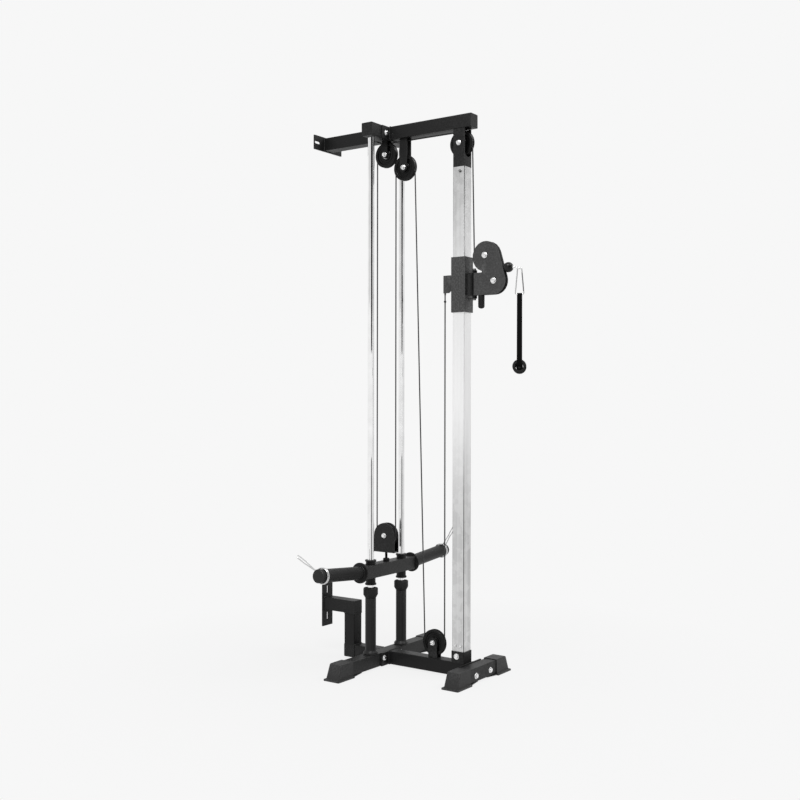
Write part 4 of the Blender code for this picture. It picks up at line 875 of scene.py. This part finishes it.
# Wheels, axles and strands
def build_wheel(node, body, pitch, rim, face, hub):
    """Grooved nylon wheel with stepped recesses and a ball bearing."""
    centre = middle(node)
    groove = pitch - CABLE_RADIUS - GAP
    web = face - 0.0034
    ring = groove - 0.0095
    half = [
        (hub, BOLT_BORE), (hub, 0.0098), (hub - 0.0004, 0.0102), (face - 0.0020, 0.0102),
        (face - 0.0020, 0.0158), (face - 0.0016, 0.0162), (face - 0.0002, 0.0166),
        (face - 0.0002, 0.0196), (face - 0.0008, 0.0204), (web, 0.0212), (web, ring - 0.0045),
        (web + 0.0012, ring - 0.0037), (web + 0.0012, ring - 0.0015), (web, ring - 0.0007),
        (web, groove - 0.0058), (face - 0.0006, groove - 0.0040), (face, groove - 0.0032),
        (face, rim - 0.0010), (face - 0.0006, rim - 0.0002), (face - 0.0016, rim),
        (face - 0.0028, rim - 0.0008), (0.0032, groove + 0.0018), (0.0020, groove + 0.0003),
        (0.0007, groove - 0.0003),
    ]
    wheel = lathe((1, 0, 0), centre, half + mirrored(half), 96, bored=True)
    finish_piece(wheel, f"{node}_wheel", body, "wheel", (node,), 28.0)
    seat = face - 0.0019
    race = [
        (seat, 0.0104), (seat + 0.0007, 0.0106), (seat + 0.0007, 0.0118), (seat + 0.0002, 0.0120),
        (seat + 0.0002, 0.0146), (seat + 0.0007, 0.0148), (seat + 0.0007, 0.0156), (seat, 0.0157),
    ]
    races = [lathe((side, 0, 0), centre, race, 48, bored=True) for side in (-1, 1)]
    finish_piece(merge(races), f"{node}_bearing", body, "bearing", smooth=25.0)


def build_axle(node, body, half_grip, across):
    """Bolt through a wheel, with its head on the left and its nut on the right."""
    centre = middle(node)
    reach = Vector((half_grip, 0, 0))
    parts = [lathe((1, 0, 0), centre, [(-half_grip, BOLT_RADIUS), (half_grip, BOLT_RADIUS)], 32)]
    parts += hex_head((-1, 0, 0), centre - reach, across, AXLE_HEAD_HEIGHT, across * 0.68)
    parts += lock_nut((1, 0, 0), centre + reach, across)
    finish_piece(merge(parts), f"{node}_bolt", body, "zinc", (node,), 30.0)


FRAME_WHEEL = (PITCH_RADIUS, RIM_RADIUS, RIM_HALF_WIDTH, HUB_HALF_WIDTH)
HEAD_UPPER_WHEEL = (HEAD_UPPER_PITCH, HEAD_UPPER_RIM, HEAD_RIM_HALF_WIDTH, HEAD_HUB_HALF_WIDTH)
HEAD_LOWER_WHEEL = (HEAD_LOWER_PITCH, HEAD_LOWER_RIM, HEAD_RIM_HALF_WIDTH, HEAD_HUB_HALF_WIDTH)
WHEELS = {
    "rear_top": ("frame", STRAP_OUTER, FRAME_WHEEL),
    "middle_top": ("frame", STRAP_OUTER, FRAME_WHEEL),
    "front_top": ("frame", TUBE / 2, FRAME_WHEEL),
    "base": ("frame", STRAP_OUTER, FRAME_WHEEL),
    "floating": ("carriage", STRAP_OUTER, FRAME_WHEEL),
    "head_upper": ("head", CHEEK_OUTER, HEAD_UPPER_WHEEL),
    "head_lower": ("head", CHEEK_OUTER, HEAD_LOWER_WHEEL),
}


def build_wheels():
    for label, (axle_body, half_grip, sizes) in WHEELS.items():
        build_wheel(f"{label}_pulley", f"{label}_wheel", *sizes)
        across = HEAD_BOLT if axle_body == "head" else FRAME_BOLT
        build_axle(f"{label}_axle", axle_body, half_grip, across)


def arc(centre, start, end, radius=PITCH_RADIUS, steps=28):
    """Cable points round a wheel; angle 0 points to the front and 90 degrees points up."""
    points = []
    for angle in sweep(start, end, steps):
        offset = Vector((0.0, -radius * cos(angle), radius * sin(angle)))
        points.append(centre + offset)
    return points


def cable_piece(name, points, body, replaced):
    tube = tube_along(points, CABLE_RADIUS)
    finish_piece(tube, name, body, "cable", replaced, 60.0)
    return tube


def strand(name, start, end, replaced):
    """Straight strand that lengthens or shortens between two bodies."""
    tube = cable_piece(name, [start, end], None, replaced)
    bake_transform(tube)


def build_cable():
    """The cable's runs round the wheels, the strands between them and its anchored end."""
    half = pi / 2
    front, rear = middle("front_top_pulley"), middle("rear_top_pulley")
    middle_wheel, base = middle("middle_top_pulley"), middle("base_pulley")
    floating = middle("floating_pulley")
    forward = Vector((0, -PITCH_RADIUS, 0))
    over = arc(front, 0, half) + arc(rear, half, pi)
    cable_piece("cable_over_top", over, "frame", ("cable_top_run",))
    under = arc(floating, pi, 2 * pi)
    cable_piece("cable_under_block", under, "carriage", ("cable_carriage_loop",))
    loop = ("cable_carriage_loop",)
    strand("cable_rear_strand", rear - forward, floating - forward, loop)
    strand("cable_front_strand", middle_wheel - forward, floating + forward, loop)
    line = Vector((middle_wheel.y - base.y, base.z - middle_wheel.z))
    slant = math.atan2(line.y, line.x) + math.acos(2 * PITCH_RADIUS / line.length)
    down = arc(middle_wheel, pi, slant) + arc(base, slant + pi, 2 * pi)
    cable_piece("cable_to_base", down, "frame", ("cable_base_run",))
    build_anchor_end(base + forward)
    upper = middle("head_upper_pulley")
    meet = upper + Vector((0, HEAD_UPPER_PITCH, 0))
    strand("cable_head_strand", front + forward, meet, ("cable_front_drop",))
    wrap = ("cable_head_wrap",)
    turn = arc(upper, pi, 1.5 * pi, HEAD_UPPER_PITCH, 16)
    cable_piece("cable_round_head", turn, "head", wrap)
    start = upper - Vector((0, 0, HEAD_UPPER_PITCH))
    end = Vector((0, middle("ball_stop").y, start.z))
    strand("cable_tail", start, end, wrap)


def build_anchor_end(foot):
    """Strand up to the trolley with a stop bead, and the ferrule that holds it to the tab."""
    node = ("cable_anchor_drop",)
    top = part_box("cable_anchor_drop")[1].z
    bead = Vector((0, foot.y, top - BEAD_DROP))
    start = bead - Vector((0, 0, BEAD_HALF))
    strand("cable_anchor_strand", foot, start, node)
    tail = [start, Vector((0, foot.y, top - FERRULE_LENGTH / 2))]
    cable_piece("cable_anchor_tail", tail, "trolley", node)
    skim = CABLE_RADIUS + 0.0002
    profile = [
        (-BEAD_HALF, skim), (-0.0030, 0.0038), (-0.0018, 0.0045),
        (0.0018, 0.0045), (0.0030, 0.0038), (BEAD_HALF, skim),
    ]
    stop = lathe((0, 0, 1), bead, profile, 32)
    finish_piece(stop, "anchor_bead", "trolley", "knob", node, 50.0)
    profile = [
        (0.0, skim), (0.0, 0.0036), (0.0005, 0.0040), (0.0022, 0.0040), (0.0028, 0.0037),
        (0.0042, 0.0037), (0.0048, 0.0040), (FERRULE_LENGTH - 0.0004, 0.0040),
        (FERRULE_LENGTH, 0.0036),
    ]
    ferrule = lathe((0, 0, 1), Vector((0, foot.y, top - FERRULE_LENGTH)), profile, 32)
    finish_piece(ferrule, "anchor_ferrule", "trolley", "steel", node, 30.0)


# Frame
def build_frame():
    for node, label in (
        ("upper_wall_bracket", "top_wall_arm"),
        ("top_crossbar", "crossbar"),
        ("top_beam", "beam"),
        ("upright_head", "upright_cap_fork"),
        ("base_spine", "spine"),
        ("lower_wall_bracket", "low_wall_arm"),
        ("rear_base_tube", "rear_base_bar"),
        ("front_foot_tube", "front_foot_bar"),
    ):
        softened(node, label, "frame", "frame_coat")
    softened("upright", "upright_post", "frame", "upright", 0.0003)
    for end in ("rear_base", "front_foot"):
        for side, _ in SIDES:
            softened(f"{end}_shoe_{side}", f"{end}_boot_{side}", "frame", "shoe", 0.0022, 3)


def build_frame_welds():
    half = TUBE / 2
    beam_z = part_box("top_crossbar")[1].z - half
    plate_face = WALL_Y - FLANGE
    places = (
        ("Y", plate_face, beam_z),
        ("Y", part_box("upper_wall_bracket")[0].y + FLANGE, beam_z),
        ("Y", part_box("top_beam")[1].y - FLANGE, beam_z),
    )
    welds("top_welds", places)
    spine_low, spine_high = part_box("base_spine")
    base_z = middle("rear_base_tube").z
    arm_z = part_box("lower_wall_bracket")[1].z - LOWER_PLATE_HALF_HEIGHT
    post_y = WALL_Y - LOWER_POST_FROM_WALL
    places = (
        ("Y", spine_high.y - FLANGE, base_z),
        ("Y", spine_low.y + FLANGE, base_z),
        ("Y", plate_face, arm_z),
        ("Z", post_y, arm_z - half),
        ("Y", post_y - half, base_z),
    )
    welds("base_welds", places)


def both_sides(direction, across, y, z):
    """Bolt seats on the left and on the right of the frame's middle."""
    return [(direction, Vector((side * across, y, z))) for _, side in SIDES]


def build_frame_bolts():
    front = Vector((0, -1, 0))
    rear = Vector((0, 1, 0))
    right = Vector((1, 0, 0))
    flange_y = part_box("top_beam")[1].y - FLANGE
    rear_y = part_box("upper_wall_bracket")[0].y + FLANGE
    seats = both_sides(front, BEAM_BOLT_X, flange_y, BEAM_BOLT_Z)
    nuts = both_sides(rear, BEAM_BOLT_X, rear_y, BEAM_BOLT_Z)
    bolts("beam_bolts", seats, nuts, BASE_BOLT)
    spine_low, spine_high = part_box("base_spine")
    foot_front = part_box("front_foot_tube")[0].y
    base_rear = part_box("rear_base_tube")[1].y
    seats = both_sides(front, SPINE_BOLT_X, spine_high.y - FLANGE, SPINE_BOLT_Z)
    seats += both_sides(front, FOOT_BOLT_X, foot_front, FOOT_BOLT_Z)
    nuts = both_sides(rear, FOOT_BOLT_X, spine_low.y + FLANGE, FOOT_BOLT_Z)
    nuts += both_sides(rear, SPINE_BOLT_X, base_rear, SPINE_BOLT_Z)
    bolts("base_bolts", seats, nuts, BASE_BOLT)
    post_y = middle("upright").y
    seats = [(-right, Vector((-SOCKET_HALF, post_y + 0.004, SOCKET_BOLT_Z)))]
    nuts = [(right, Vector((SOCKET_HALF, post_y + 0.004, SOCKET_BOLT_Z)))]
    bolts("socket_bolt", seats, nuts, BASE_BOLT)
    face = -TUBE / 2
    screw = (-right, Vector((face, post_y - 0.007, SPIGOT_SCREW_Z)))
    bolts("spigot_screw", [screw], (), 0.0085, "steel")
    screws = []
    for offset in (-0.011, 0.011):
        screws.append((-right, Vector((face, post_y + offset, POST_SCREW_Z))))
    bolts("post_screws", screws, (), 0.0075)


def build_rods():
    """Polished guide rods with the spacer tube and rubber bumper round each."""
    for side, _ in SIDES:
        node = f"guide_rod_{side}"
        base, top = heights(node)
        centre = plumb(node)
        profile = [
            (base, ROD_RADIUS - 0.001), (base + 0.001, ROD_RADIUS),
            (top - 0.001, ROD_RADIUS), (top, ROD_RADIUS - 0.001),
        ]
        rod = lathe((0, 0, 1), centre, profile, 64)
        finish_piece(rod, f"polished_rod_{side}", "frame", "rod", (node,))
        build_spacer(side, centre)
        build_bumper(side, centre)


def build_spacer(side, centre):
    base, top = heights(f"rod_spacer_{side}")
    collar = SPACER_COLLAR_RADIUS
    profile = [
        (base, ROD_BORE), (base, collar - 0.001), (base + 0.001, collar), (base + 0.0065, collar),
        (base + 0.0080, collar - 0.0012), (base + 0.0135, SPACER_RADIUS + 0.0006),
        (base + 0.0150, SPACER_RADIUS), (top - 0.001, SPACER_RADIUS),
        (top, SPACER_RADIUS - 0.001), (top, ROD_BORE),
    ]
    spacer = lathe((0, 0, 1), centre, profile, bored=True)
    finish_piece(spacer, f"spacer_{side}", "frame", "block_coat", (f"rod_spacer_{side}",))


def flute(bumper, inner, outer):
    """Press grooves into the bumper's rim, which leaves lobes between them."""
    for point in bumper.data.vertices:
        reach = math.hypot(point.co.x, point.co.y)
        share = max(0.0, (reach - inner) / (outer - inner))
        wave = 0.5 + 0.5 * cos(BUMPER_LOBES * math.atan2(point.co.y, point.co.x))
        scale = 1 - BUMPER_GROOVE * share * wave**4 / reach
        point.co.x *= scale
        point.co.y *= scale


def build_bumper(side, centre):
    """Rubber stop with a lobed rim, which the carriage rests on."""
    base, top = heights(f"bumper_{side}")
    wide = BUMPER_RADIUS
    profile = [
        (base, ROD_BORE), (base, SPACER_RADIUS), (base + 0.0010, SPACER_RADIUS + 0.0010),
        (base + 0.0090, wide - 0.0019), (base + 0.0110, wide - 0.0003), (base + 0.0130, wide),
        (top - 0.0035, wide), (top - 0.0010, wide - 0.0009), (top, wide - 0.0027),
        (top - 0.0005, wide - 0.0050), (top - 0.0030, wide - 0.0070),
        (top - 0.0040, wide - 0.0095), (top - 0.0040, ROD_BORE),
    ]
    bumper = lathe((0, 0, 1), centre, profile, bored=True)
    flute(bumper, SPACER_RADIUS + 0.002, wide)
    name = f"rubber_bumper_{side}"
    finish_piece(bumper, name, "frame", "rubber", (f"bumper_{side}",), smooth=60.0)


# Carriage
def horn_axis(side):
    return Vector((side * cos(HORN_TILT), 0.0, sin(HORN_TILT)))


def horn_root(side):
    bar = middle("carriage_body")
    return Vector((side * HORN_START, bar.y, bar.z))


def build_carriage():
    softened("carriage_body", "carriage_bar", "carriage", "block_coat", 0.0006)
    softened("floating_block", "block_fork", "carriage", "block_coat", 0.0008)
    for name, side in SIDES:
        build_bushing(name)
        build_horn(name, side)
    build_stud()


def build_bushing(name):
    """Guide bush with a rim at each end."""
    node = f"carriage_bushing_{name}"
    base, top = heights(node)
    rim = BUSH_RIM_RADIUS
    profile = [
        (base, ROD_BORE), (base, rim - 0.0008), (base + 0.0008, rim),
        (base + BUSH_RIM - 0.0006, rim), (base + BUSH_RIM, rim - 0.0006),
        (base + BUSH_RIM, BUSH_RADIUS), (top - BUSH_RIM, BUSH_RADIUS),
        (top - BUSH_RIM, rim - 0.0006), (top - BUSH_RIM + 0.0006, rim), (top - 0.0008, rim),
        (top, rim - 0.0008), (top, ROD_BORE),
    ]
    bush = lathe((0, 0, 1), plumb(node), profile, bored=True)
    finish_piece(bush, f"sliding_bush_{name}", "carriage", "bush", (node,))


def build_horn(name, side):
    """Plate horn with its stop disc and the plastic cap in its tip."""
    node = (f"plate_horn_{name}",)
    axis, root = horn_axis(side), horn_root(side)
    end = HORN_LENGTH - 0.007
    disc, wide = DISC_THICKNESS, HORN_RADIUS
    profile = [
        (0.0, 0.020), (0.0, DISC_RADIUS - 0.001), (0.001, DISC_RADIUS),
        (disc - 0.001, DISC_RADIUS), (disc, DISC_RADIUS - 0.001), (disc, wide + 0.0022),
        (disc + 0.0015, wide + 0.0006), (disc + 0.0035, wide), (end - 0.0005, wide),
        (end, wide - 0.0006), (end, 0.020),
    ]
    horn = lathe(axis, root, profile, bored=True)
    finish_piece(horn, f"horn_{name}", "carriage", "frame_coat", node, smooth=30.0)
    profile = [
        (-0.010, 0.0190), (0.0, 0.0200), (0.0, wide - 0.0004), (0.0008, wide + 0.0001),
        (0.0036, wide + 0.0001), (0.0052, wide - 0.0008), (0.0060, wide - 0.0030),
        (0.0064, 0.0150), (0.0066, 0.0060),
    ]
    cap = lathe(axis, root + axis * (end + 0.0002), profile)
    finish_piece(cap, f"horn_cap_{name}", "carriage", "cap", node, 60.0)


def build_stud():
    """Lifting stud with its nut and thread."""
    base, top = heights("lifting_stud")
    profile = [(base, 0.0115), (base + 0.001, 0.0125)]
    profile += [(base + 0.0095, 0.0125), (base + 0.011, 0.0112)]
    height = base + 0.0125
    while height < top - STUD_PITCH:
        profile += [(height, 0.0046), (height + STUD_PITCH / 2, 0.0051)]
        height += STUD_PITCH
    profile.append((top, 0.0046))
    stud = lathe((0, 0, 1), plumb("lifting_stud"), profile, 40)
    finish_piece(stud, "threaded_stud", "carriage", "stud_black_and_hinge_shade", ("lifting_stud",), smooth=25.0)


def collar_arm():
    """One squeeze arm as (offset, reach, share) from the horn's middle along the aim line.

    The share says how far the arm has settled into the grip's plane.
    """
    ring_end = Vector((COLLAR_RING * sin(COLLAR_SPREAD), COLLAR_RING * cos(COLLAR_SPREAD)))
    run = (ring_end.x - COLLAR_NECK) / cos(COLLAR_SPREAD)
    corner = Vector((COLLAR_NECK, ring_end.y + run * sin(COLLAR_SPREAD)))
    neck = Vector((COLLAR_NECK, corner.y + COLLAR_BEND))
    points = []
    steps = 8
    for step in range(1, steps + 1):
        share = step / steps
        bend = ring_end.lerp(corner, share).lerp(corner.lerp(neck, share), share)
        points.append((bend.x, bend.y, 0.0))
    length = COLLAR_TIP_REACH - neck.y
    for offset, share in (
        (COLLAR_NECK, 0.42),
        (COLLAR_GRIP_HALF - 0.0003, 0.50),
        (COLLAR_GRIP_HALF, 0.55),
        (COLLAR_GRIP_HALF, 0.92),
        (COLLAR_GRIP_HALF * 0.88, 0.97),
        (COLLAR_GRIP_HALF * 0.6, 1.0),
    ):
        points.append((offset, neck.y + length * share, 1.0))
    return points


def build_collars():
    """Spring collars: nearly two turns of wire whose ends bend out into a narrow grip."""
    for name, side in SIDES:
        axis, root = horn_axis(side), horn_root(side)
        up = (Vector((0, 0, 1)) - axis * axis.z).normalized()
        front = axis.cross(up)
        if front.y > 0:
            front.negate()
        aim = COLLAR_AIM[name]
        out = front * cos(aim) + up * sin(aim)
        across = up * cos(aim) - front * sin(aim)
        wound = 2 * pi * COLLAR_TURNS - 2 * COLLAR_SPREAD
        length = COLLAR_PITCH * wound / (2 * pi)
        start = root + axis * COLLAR_START
        coil = []
        steps = COLLAR_TURNS * 30
        for step in range(steps + 1):
            angle = COLLAR_SPREAD + wound * step / steps
            ring = (out * cos(angle) + across * sin(angle)) * COLLAR_RING
            coil.append(start + axis * (length * step / steps) + ring)
        arms = []
        for hand, along in ((1, 0.0), (-1, length)):
            arm = []
            for offset, reach, settled in collar_arm():
                depth = along + (length / 2 - along) * settled
                arm.append(start + axis * depth + out * reach + across * (offset * hand))
            arms.append(arm)
        route = list(reversed(arms[0])) + coil + arms[1]
        wire = tube_along(route, COLLAR_WIRE, 12)
        node = (f"spring_collar_{name}",)
        finish_piece(wire, f"collar_wire_{name}", f"collar_{name}", "wire", node, 60.0)


# Trolley and head
def paint_hinge_shade(item):
    """Paint the faces round the hinge pin near-black: painted shade in the hinge's recess."""
    pin = middle("hinge_pin")
    item.data.materials.append(MATERIALS["stud_black_and_hinge_shade"])
    for face in item.data.polygons:
        if math.hypot(face.center.x - pin.x, face.center.y - pin.y) < HINGE_REACH:
            face.material_index = 1


def build_hinge_shade_plate():
    """Thin black plate with two ribs on the sleeve, between the hinge lugs: a dark sheet standing in
    for the shade round the hinge.
    """
    base, top = heights("hinge_pin")
    seat = middle("upright").y - SLEEVE_HALF
    left = [
        (-0.026, -0.0003), (-0.026, HINGE_PLATE), (-0.0140, HINGE_PLATE), (-0.0132, HINGE_RIB),
        (-0.0088, HINGE_RIB), (-0.0080, HINGE_PLATE),
    ]
    outline = left + mirrored(left)
    rings = []
    for height in (base + HINGE_INSET, top - HINGE_INSET):
        rings.append([Vector((across, seat - depth, height)) for across, depth in outline])
    finish_piece(loft(rings), "hinge_shade_plate", "trolley", "stud_black_and_hinge_shade", smooth=20.0)


def build_trolley():
    build_hinge_shade_plate()
    sleeve = softened("trolley_sleeve", "sleeve_housing", "trolley", "head_coat", 0.0006)
    softened("trolley_liner", "sleeve_lining", "trolley", "liner", 0.0)
    cheeks = softened("swivel_head", "swivel_cheeks", "head", "head_coat", 0.0005)
    # Painted shade: the sleeve's and cheeks' faces round the hinge pin turn near-black.
    paint_hinge_shade(sleeve)
    paint_hinge_shade(cheeks)
    paint("hinge_pin", "steel")
    build_pull_knob()
    build_turning_grip()


def build_pull_knob():
    """Locking pin with its knob."""
    low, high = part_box("pop_pin")
    centre = middle("pop_pin")
    centre.x = 0.0
    end = high.x
    knob = end - PIN_KNOB
    profile = [
        (low.x, 0.0036), (low.x + 0.0012, 0.0048), (knob, 0.0048), (knob, 0.0086),
        (knob + 0.005, 0.0096), (knob + 0.008, 0.0128), (knob + 0.011, 0.0140),
        (end - 0.004, 0.0140), (end - 0.001, 0.0122), (end, 0.0090),
    ]
    pin = lathe((1, 0, 0), centre, profile, 48)
    finish_piece(pin, "pull_knob", "locking_pin", "knob", ("pop_pin",))


def build_turning_grip():
    """Ribbed rubber grip that hangs under the head."""
    base, top = heights("head_grip")
    centre = Vector((0, middle("head_grip").y, top))
    length = top - base
    profile = [(0.0, 0.0105), (0.001, 0.0118)]
    for index in range(GRIP_RIBS):
        start = 0.004 + index * GRIP_RIB_PITCH
        profile += [(start, 0.0120), (start + 0.0020, 0.0120)]
        profile += [(start + 0.0024, 0.0114), (start + 0.0032, 0.0114)]
    profile += [(length - 0.0085, 0.0120), (length - 0.0045, 0.0108)]
    profile += [(length - 0.0015, 0.0078), (length, 0.0030)]
    grip = lathe((0, 0, -1), centre, profile, 48)
    finish_piece(grip, "turning_grip", "head", "rubber", ("head_grip",), smooth=35.0)


def paint(node, material):
    """Give a shown CAD node its material."""
    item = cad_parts[node]
    item.data.materials.clear()
    item.data.materials.append(MATERIALS[material])


# Cable end and handle
def build_cable_end():
    """Rubber ball with a mould line, and the round eye that the hook hangs in."""
    base, top = heights("ball_stop")
    centre = middle("ball_stop")
    radius = (top - base) / 2 * BALL_FIT
    mouth = math.sqrt(radius**2 - BALL_BORE**2)
    profile = [(-mouth, BALL_BORE)]
    for step in range(1, BALL_STEPS):
        angle = pi * step / BALL_STEPS
        reach = radius * BALL_SEAM if step == BALL_STEPS // 2 else radius
        profile.append((-reach * cos(angle), reach * sin(angle)))
    profile.append((mouth, BALL_BORE))
    ball = lathe((0, -1, 0), centre, profile, 56, bored=True)
    finish_piece(ball, "ball", "cable_end", "ball", ("ball_stop",), smooth=60.0)
    droop = Vector((0.0, -cos(EYE_DROOP), -sin(EYE_DROOP)))
    ring_centre = hang_point() - droop * EYE_RADIUS
    ring = []
    for angle in circle(40):
        spoke = Vector((cos(angle), 0.0, 0.0)) + droop * sin(angle)
        ring.append(ring_centre + spoke * EYE_RADIUS)
    eye = tube_along(ring, EYE_WIRE, 14, closed=True)
    profile = [
        (0.0, 0.0030), (0.0004, 0.0062), (0.0016, 0.0064),
        (0.0020, 0.0042), (0.0078, 0.0038), (0.0092, 0.0026),
    ]
    shank = lathe((0, -1, 0), Vector((0, centre.y - radius * 0.97, centre.z)), profile, 32)
    fitting = merge([eye, shank])
    finish_piece(fitting, "eye_fitting", "cable_end", "bright", ("cable_eye",), 50.0)


def hang_point():
    """Middle of the eye's lowest wire, where the hook hangs."""
    ball = middle("ball_stop")
    return Vector((0, middle("handle_grip").y, ball.z - 2 * EYE_RADIUS * sin(EYE_DROOP)))


def hook_heights():
    """Heights of the hook's top bend, corner bends and bottom bar."""
    top = hang_point().z + EYE_WIRE + GAP + HOOK_WIRE
    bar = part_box("snap_hook")[0].z + HOOK_WIRE
    return top - HOOK_TOP_RADIUS, bar + HOOK_CORNER, bar


def build_hook():
    """Snap hook: smooth wire body with a flat bar, and a gate on a rivet."""
    pivot = Vector((0, middle("handle_grip").y, 0))
    turn = Matrix.Rotation(HOOK_YAW, 3, "Z")
    upper_z, lower_z, _ = hook_heights()
    drop = Vector((HOOK_BAR_HALF, lower_z - upper_z))
    lean = math.atan2(drop.y, drop.x) + math.acos((HOOK_TOP_RADIUS - HOOK_CORNER) / drop.length)

    def curve(across, z, radius, start, end, steps):
        points = []
        for angle in sweep(start, end, steps):
            out, height = across + radius * cos(angle), z + radius * sin(angle)
            points.append(pivot + turn @ Vector((0.0, -out, height)))
        return points

    top = curve(0.0, upper_z, HOOK_TOP_RADIUS, lean, pi - lean, 16)
    rear = curve(-HOOK_BAR_HALF, lower_z, HOOK_CORNER, pi - lean, 1.5 * pi, 10)
    front = curve(HOOK_BAR_HALF, lower_z, HOOK_CORNER, -pi / 2, lean, 10)
    along = (front[-1] - top[0]).normalized()
    gate_top = top[0] + along * 0.010
    gate_bottom = front[-1] - along * 0.005
    route = [gate_top, top[0] + along * 0.004] + top + rear + front + [gate_bottom]
    body = tube_along(route, HOOK_WIRE, 16)
    finish_piece(body, "hook_body", "hook", "bright", ("snap_hook",), 50.0)
    gate = tube_along([gate_bottom - along * 0.0006, gate_top + along * 0.0006], 0.0022, 16)
    profile = [(-0.0034, 0.0012), (-0.0032, 0.0016), (0.0032, 0.0016), (0.0034, 0.0012)]
    rivet = lathe(turn @ Vector((1, 0, 0)), gate_bottom - along * 0.003, profile, 24)
    node = ("hook_gate",)
    finish_piece(merge([gate, rivet]), "sprung_gate", "gate", "dark_steel", node, 50.0)


def strap_route():
    """Middle line of the webbing in the handle's plane: over the bar and through the grip."""
    bar_z = hook_heights()[2]
    grip_z = middle("handle_grip").z
    seat = HOOK_WIRE + STRAP_SEAT + STRAP_BAND / 2
    end = GRIP_HALF_LENGTH + GAP + STRAP_BAND
    shoulder = grip_z + GRIP_END_RADIUS + 0.004
    half_route = []
    for angle in sweep(0.0, pi / 2, 8):
        half_route.append((seat * sin(angle), bar_z + seat * cos(angle)))
    for step in range(1, 9):
        share = step / 8
        bow = STRAP_BOW * sin(pi * share)
        x = seat + (end - seat) * share - bow
        half_route.append((x, bar_z + (shoulder - bar_z) * share))
    for angle in sweep(0.0, pi / 2, 6):
        x = end - STRAP_BEND + STRAP_BEND * cos(angle)
        half_route.append((x, grip_z + STRAP_BEND - STRAP_BEND * sin(angle)))
    return half_route + mirrored(half_route[1:])


def build_strap(pivot, turn):
    """Webbing loop that runs over the hook's bar and through the tubular grip."""
    route = strap_route()
    section = [
        (1, 0.90), (0.62, 1.0), (-0.62, 1.0), (-1, 0.90),
        (-1, -0.90), (-0.62, -1.0), (0.62, -1.0), (1, -0.90),
    ]
    rows = []
    for index, (x, z) in enumerate(route):
        before, after = route[index - 1], route[(index + 1) % len(route)]
        into = Vector((x - before[0], 0.0, z - before[1])).normalized()
        out = Vector((after[0] - x, 0.0, after[1] - z)).normalized()
        along = (into + out).normalized()
        across = Vector((along.z, 0.0, -along.x))
        row = []
        for thick, wide in section:
            local = Vector((x, wide * STRAP_WIDTH / 2, z)) + across * (STRAP_BAND / 2 * thick)
            row.append(pivot + turn @ local)
        rows.append(row)
    spans = [wide * STRAP_WIDTH / 2 for _, wide in section + section[:1]]
    shape = skin(rows, spans, route, closed=True)
    bmesh.ops.recalc_face_normals(shape, faces=shape.faces)
    strap = object_from(shape)
    finish_piece(strap, "webbing_loop", "handle", "webbing", ("handle_strap",), 60.0)


def build_grip(centre, axis):
    """Foam grip between two round end caps, swelling a little in the middle."""
    half, rim, bore = GRIP_HALF_LENGTH, GRIP_END_RADIUS, GRIP_BORE
    inner = half - GRIP_END
    end = [
        (-half + 0.002, bore), (-half, bore + 0.0015), (-half, rim - 0.0025),
        (-half + 0.0008, rim - 0.0008), (-half + 0.0025, rim), (-inner - 0.0025, rim),
        (-inner - 0.0008, rim - 0.0010), (-inner, rim - 0.0030), (-inner + 0.001, GRIP_RADIUS),
    ]
    foam = []
    for step in range(1, 12):
        share = step / 12
        swell = GRIP_SWELL * sin(pi * share)
        foam.append((-inner + 2 * inner * share, GRIP_RADIUS + swell))
    grip = lathe(axis, centre, end + foam + mirrored(end), 64, bored=True)
    finish_piece(grip, "foam_grip", "hand_grip", "foam", ("handle_grip",), smooth=45.0)
    plug = [
        (half - 0.0300, 0.0), (half - 0.0300, bore - 0.0012), (half - 0.0250, bore - 0.0012),
        (half - 0.0244, bore - 0.0020), (half - 0.0244, 0.0),
    ]
    plugs = [lathe(axis * side, centre, plug, 40) for side in (-1, 1)]
    finish_piece(merge(plugs), "grip_plugs", "handle", "knob", smooth=40.0)


def build_handle():
    centre = middle("handle_grip")
    turn = Matrix.Rotation(HOOK_YAW, 3, "Z")
    build_strap(Vector((0, centre.y, 0)), turn)
    build_grip(centre, turn @ Vector((1, 0, 0)))


bpy.context.scene.view_settings.view_transform = "Standard"
build_studio()
build_wheels()
build_cable()
build_frame()
build_frame_welds()
build_frame_bolts()
build_rods()
build_carriage()
build_collars()
build_trolley()
build_cable_end()
build_hook()
build_handle()
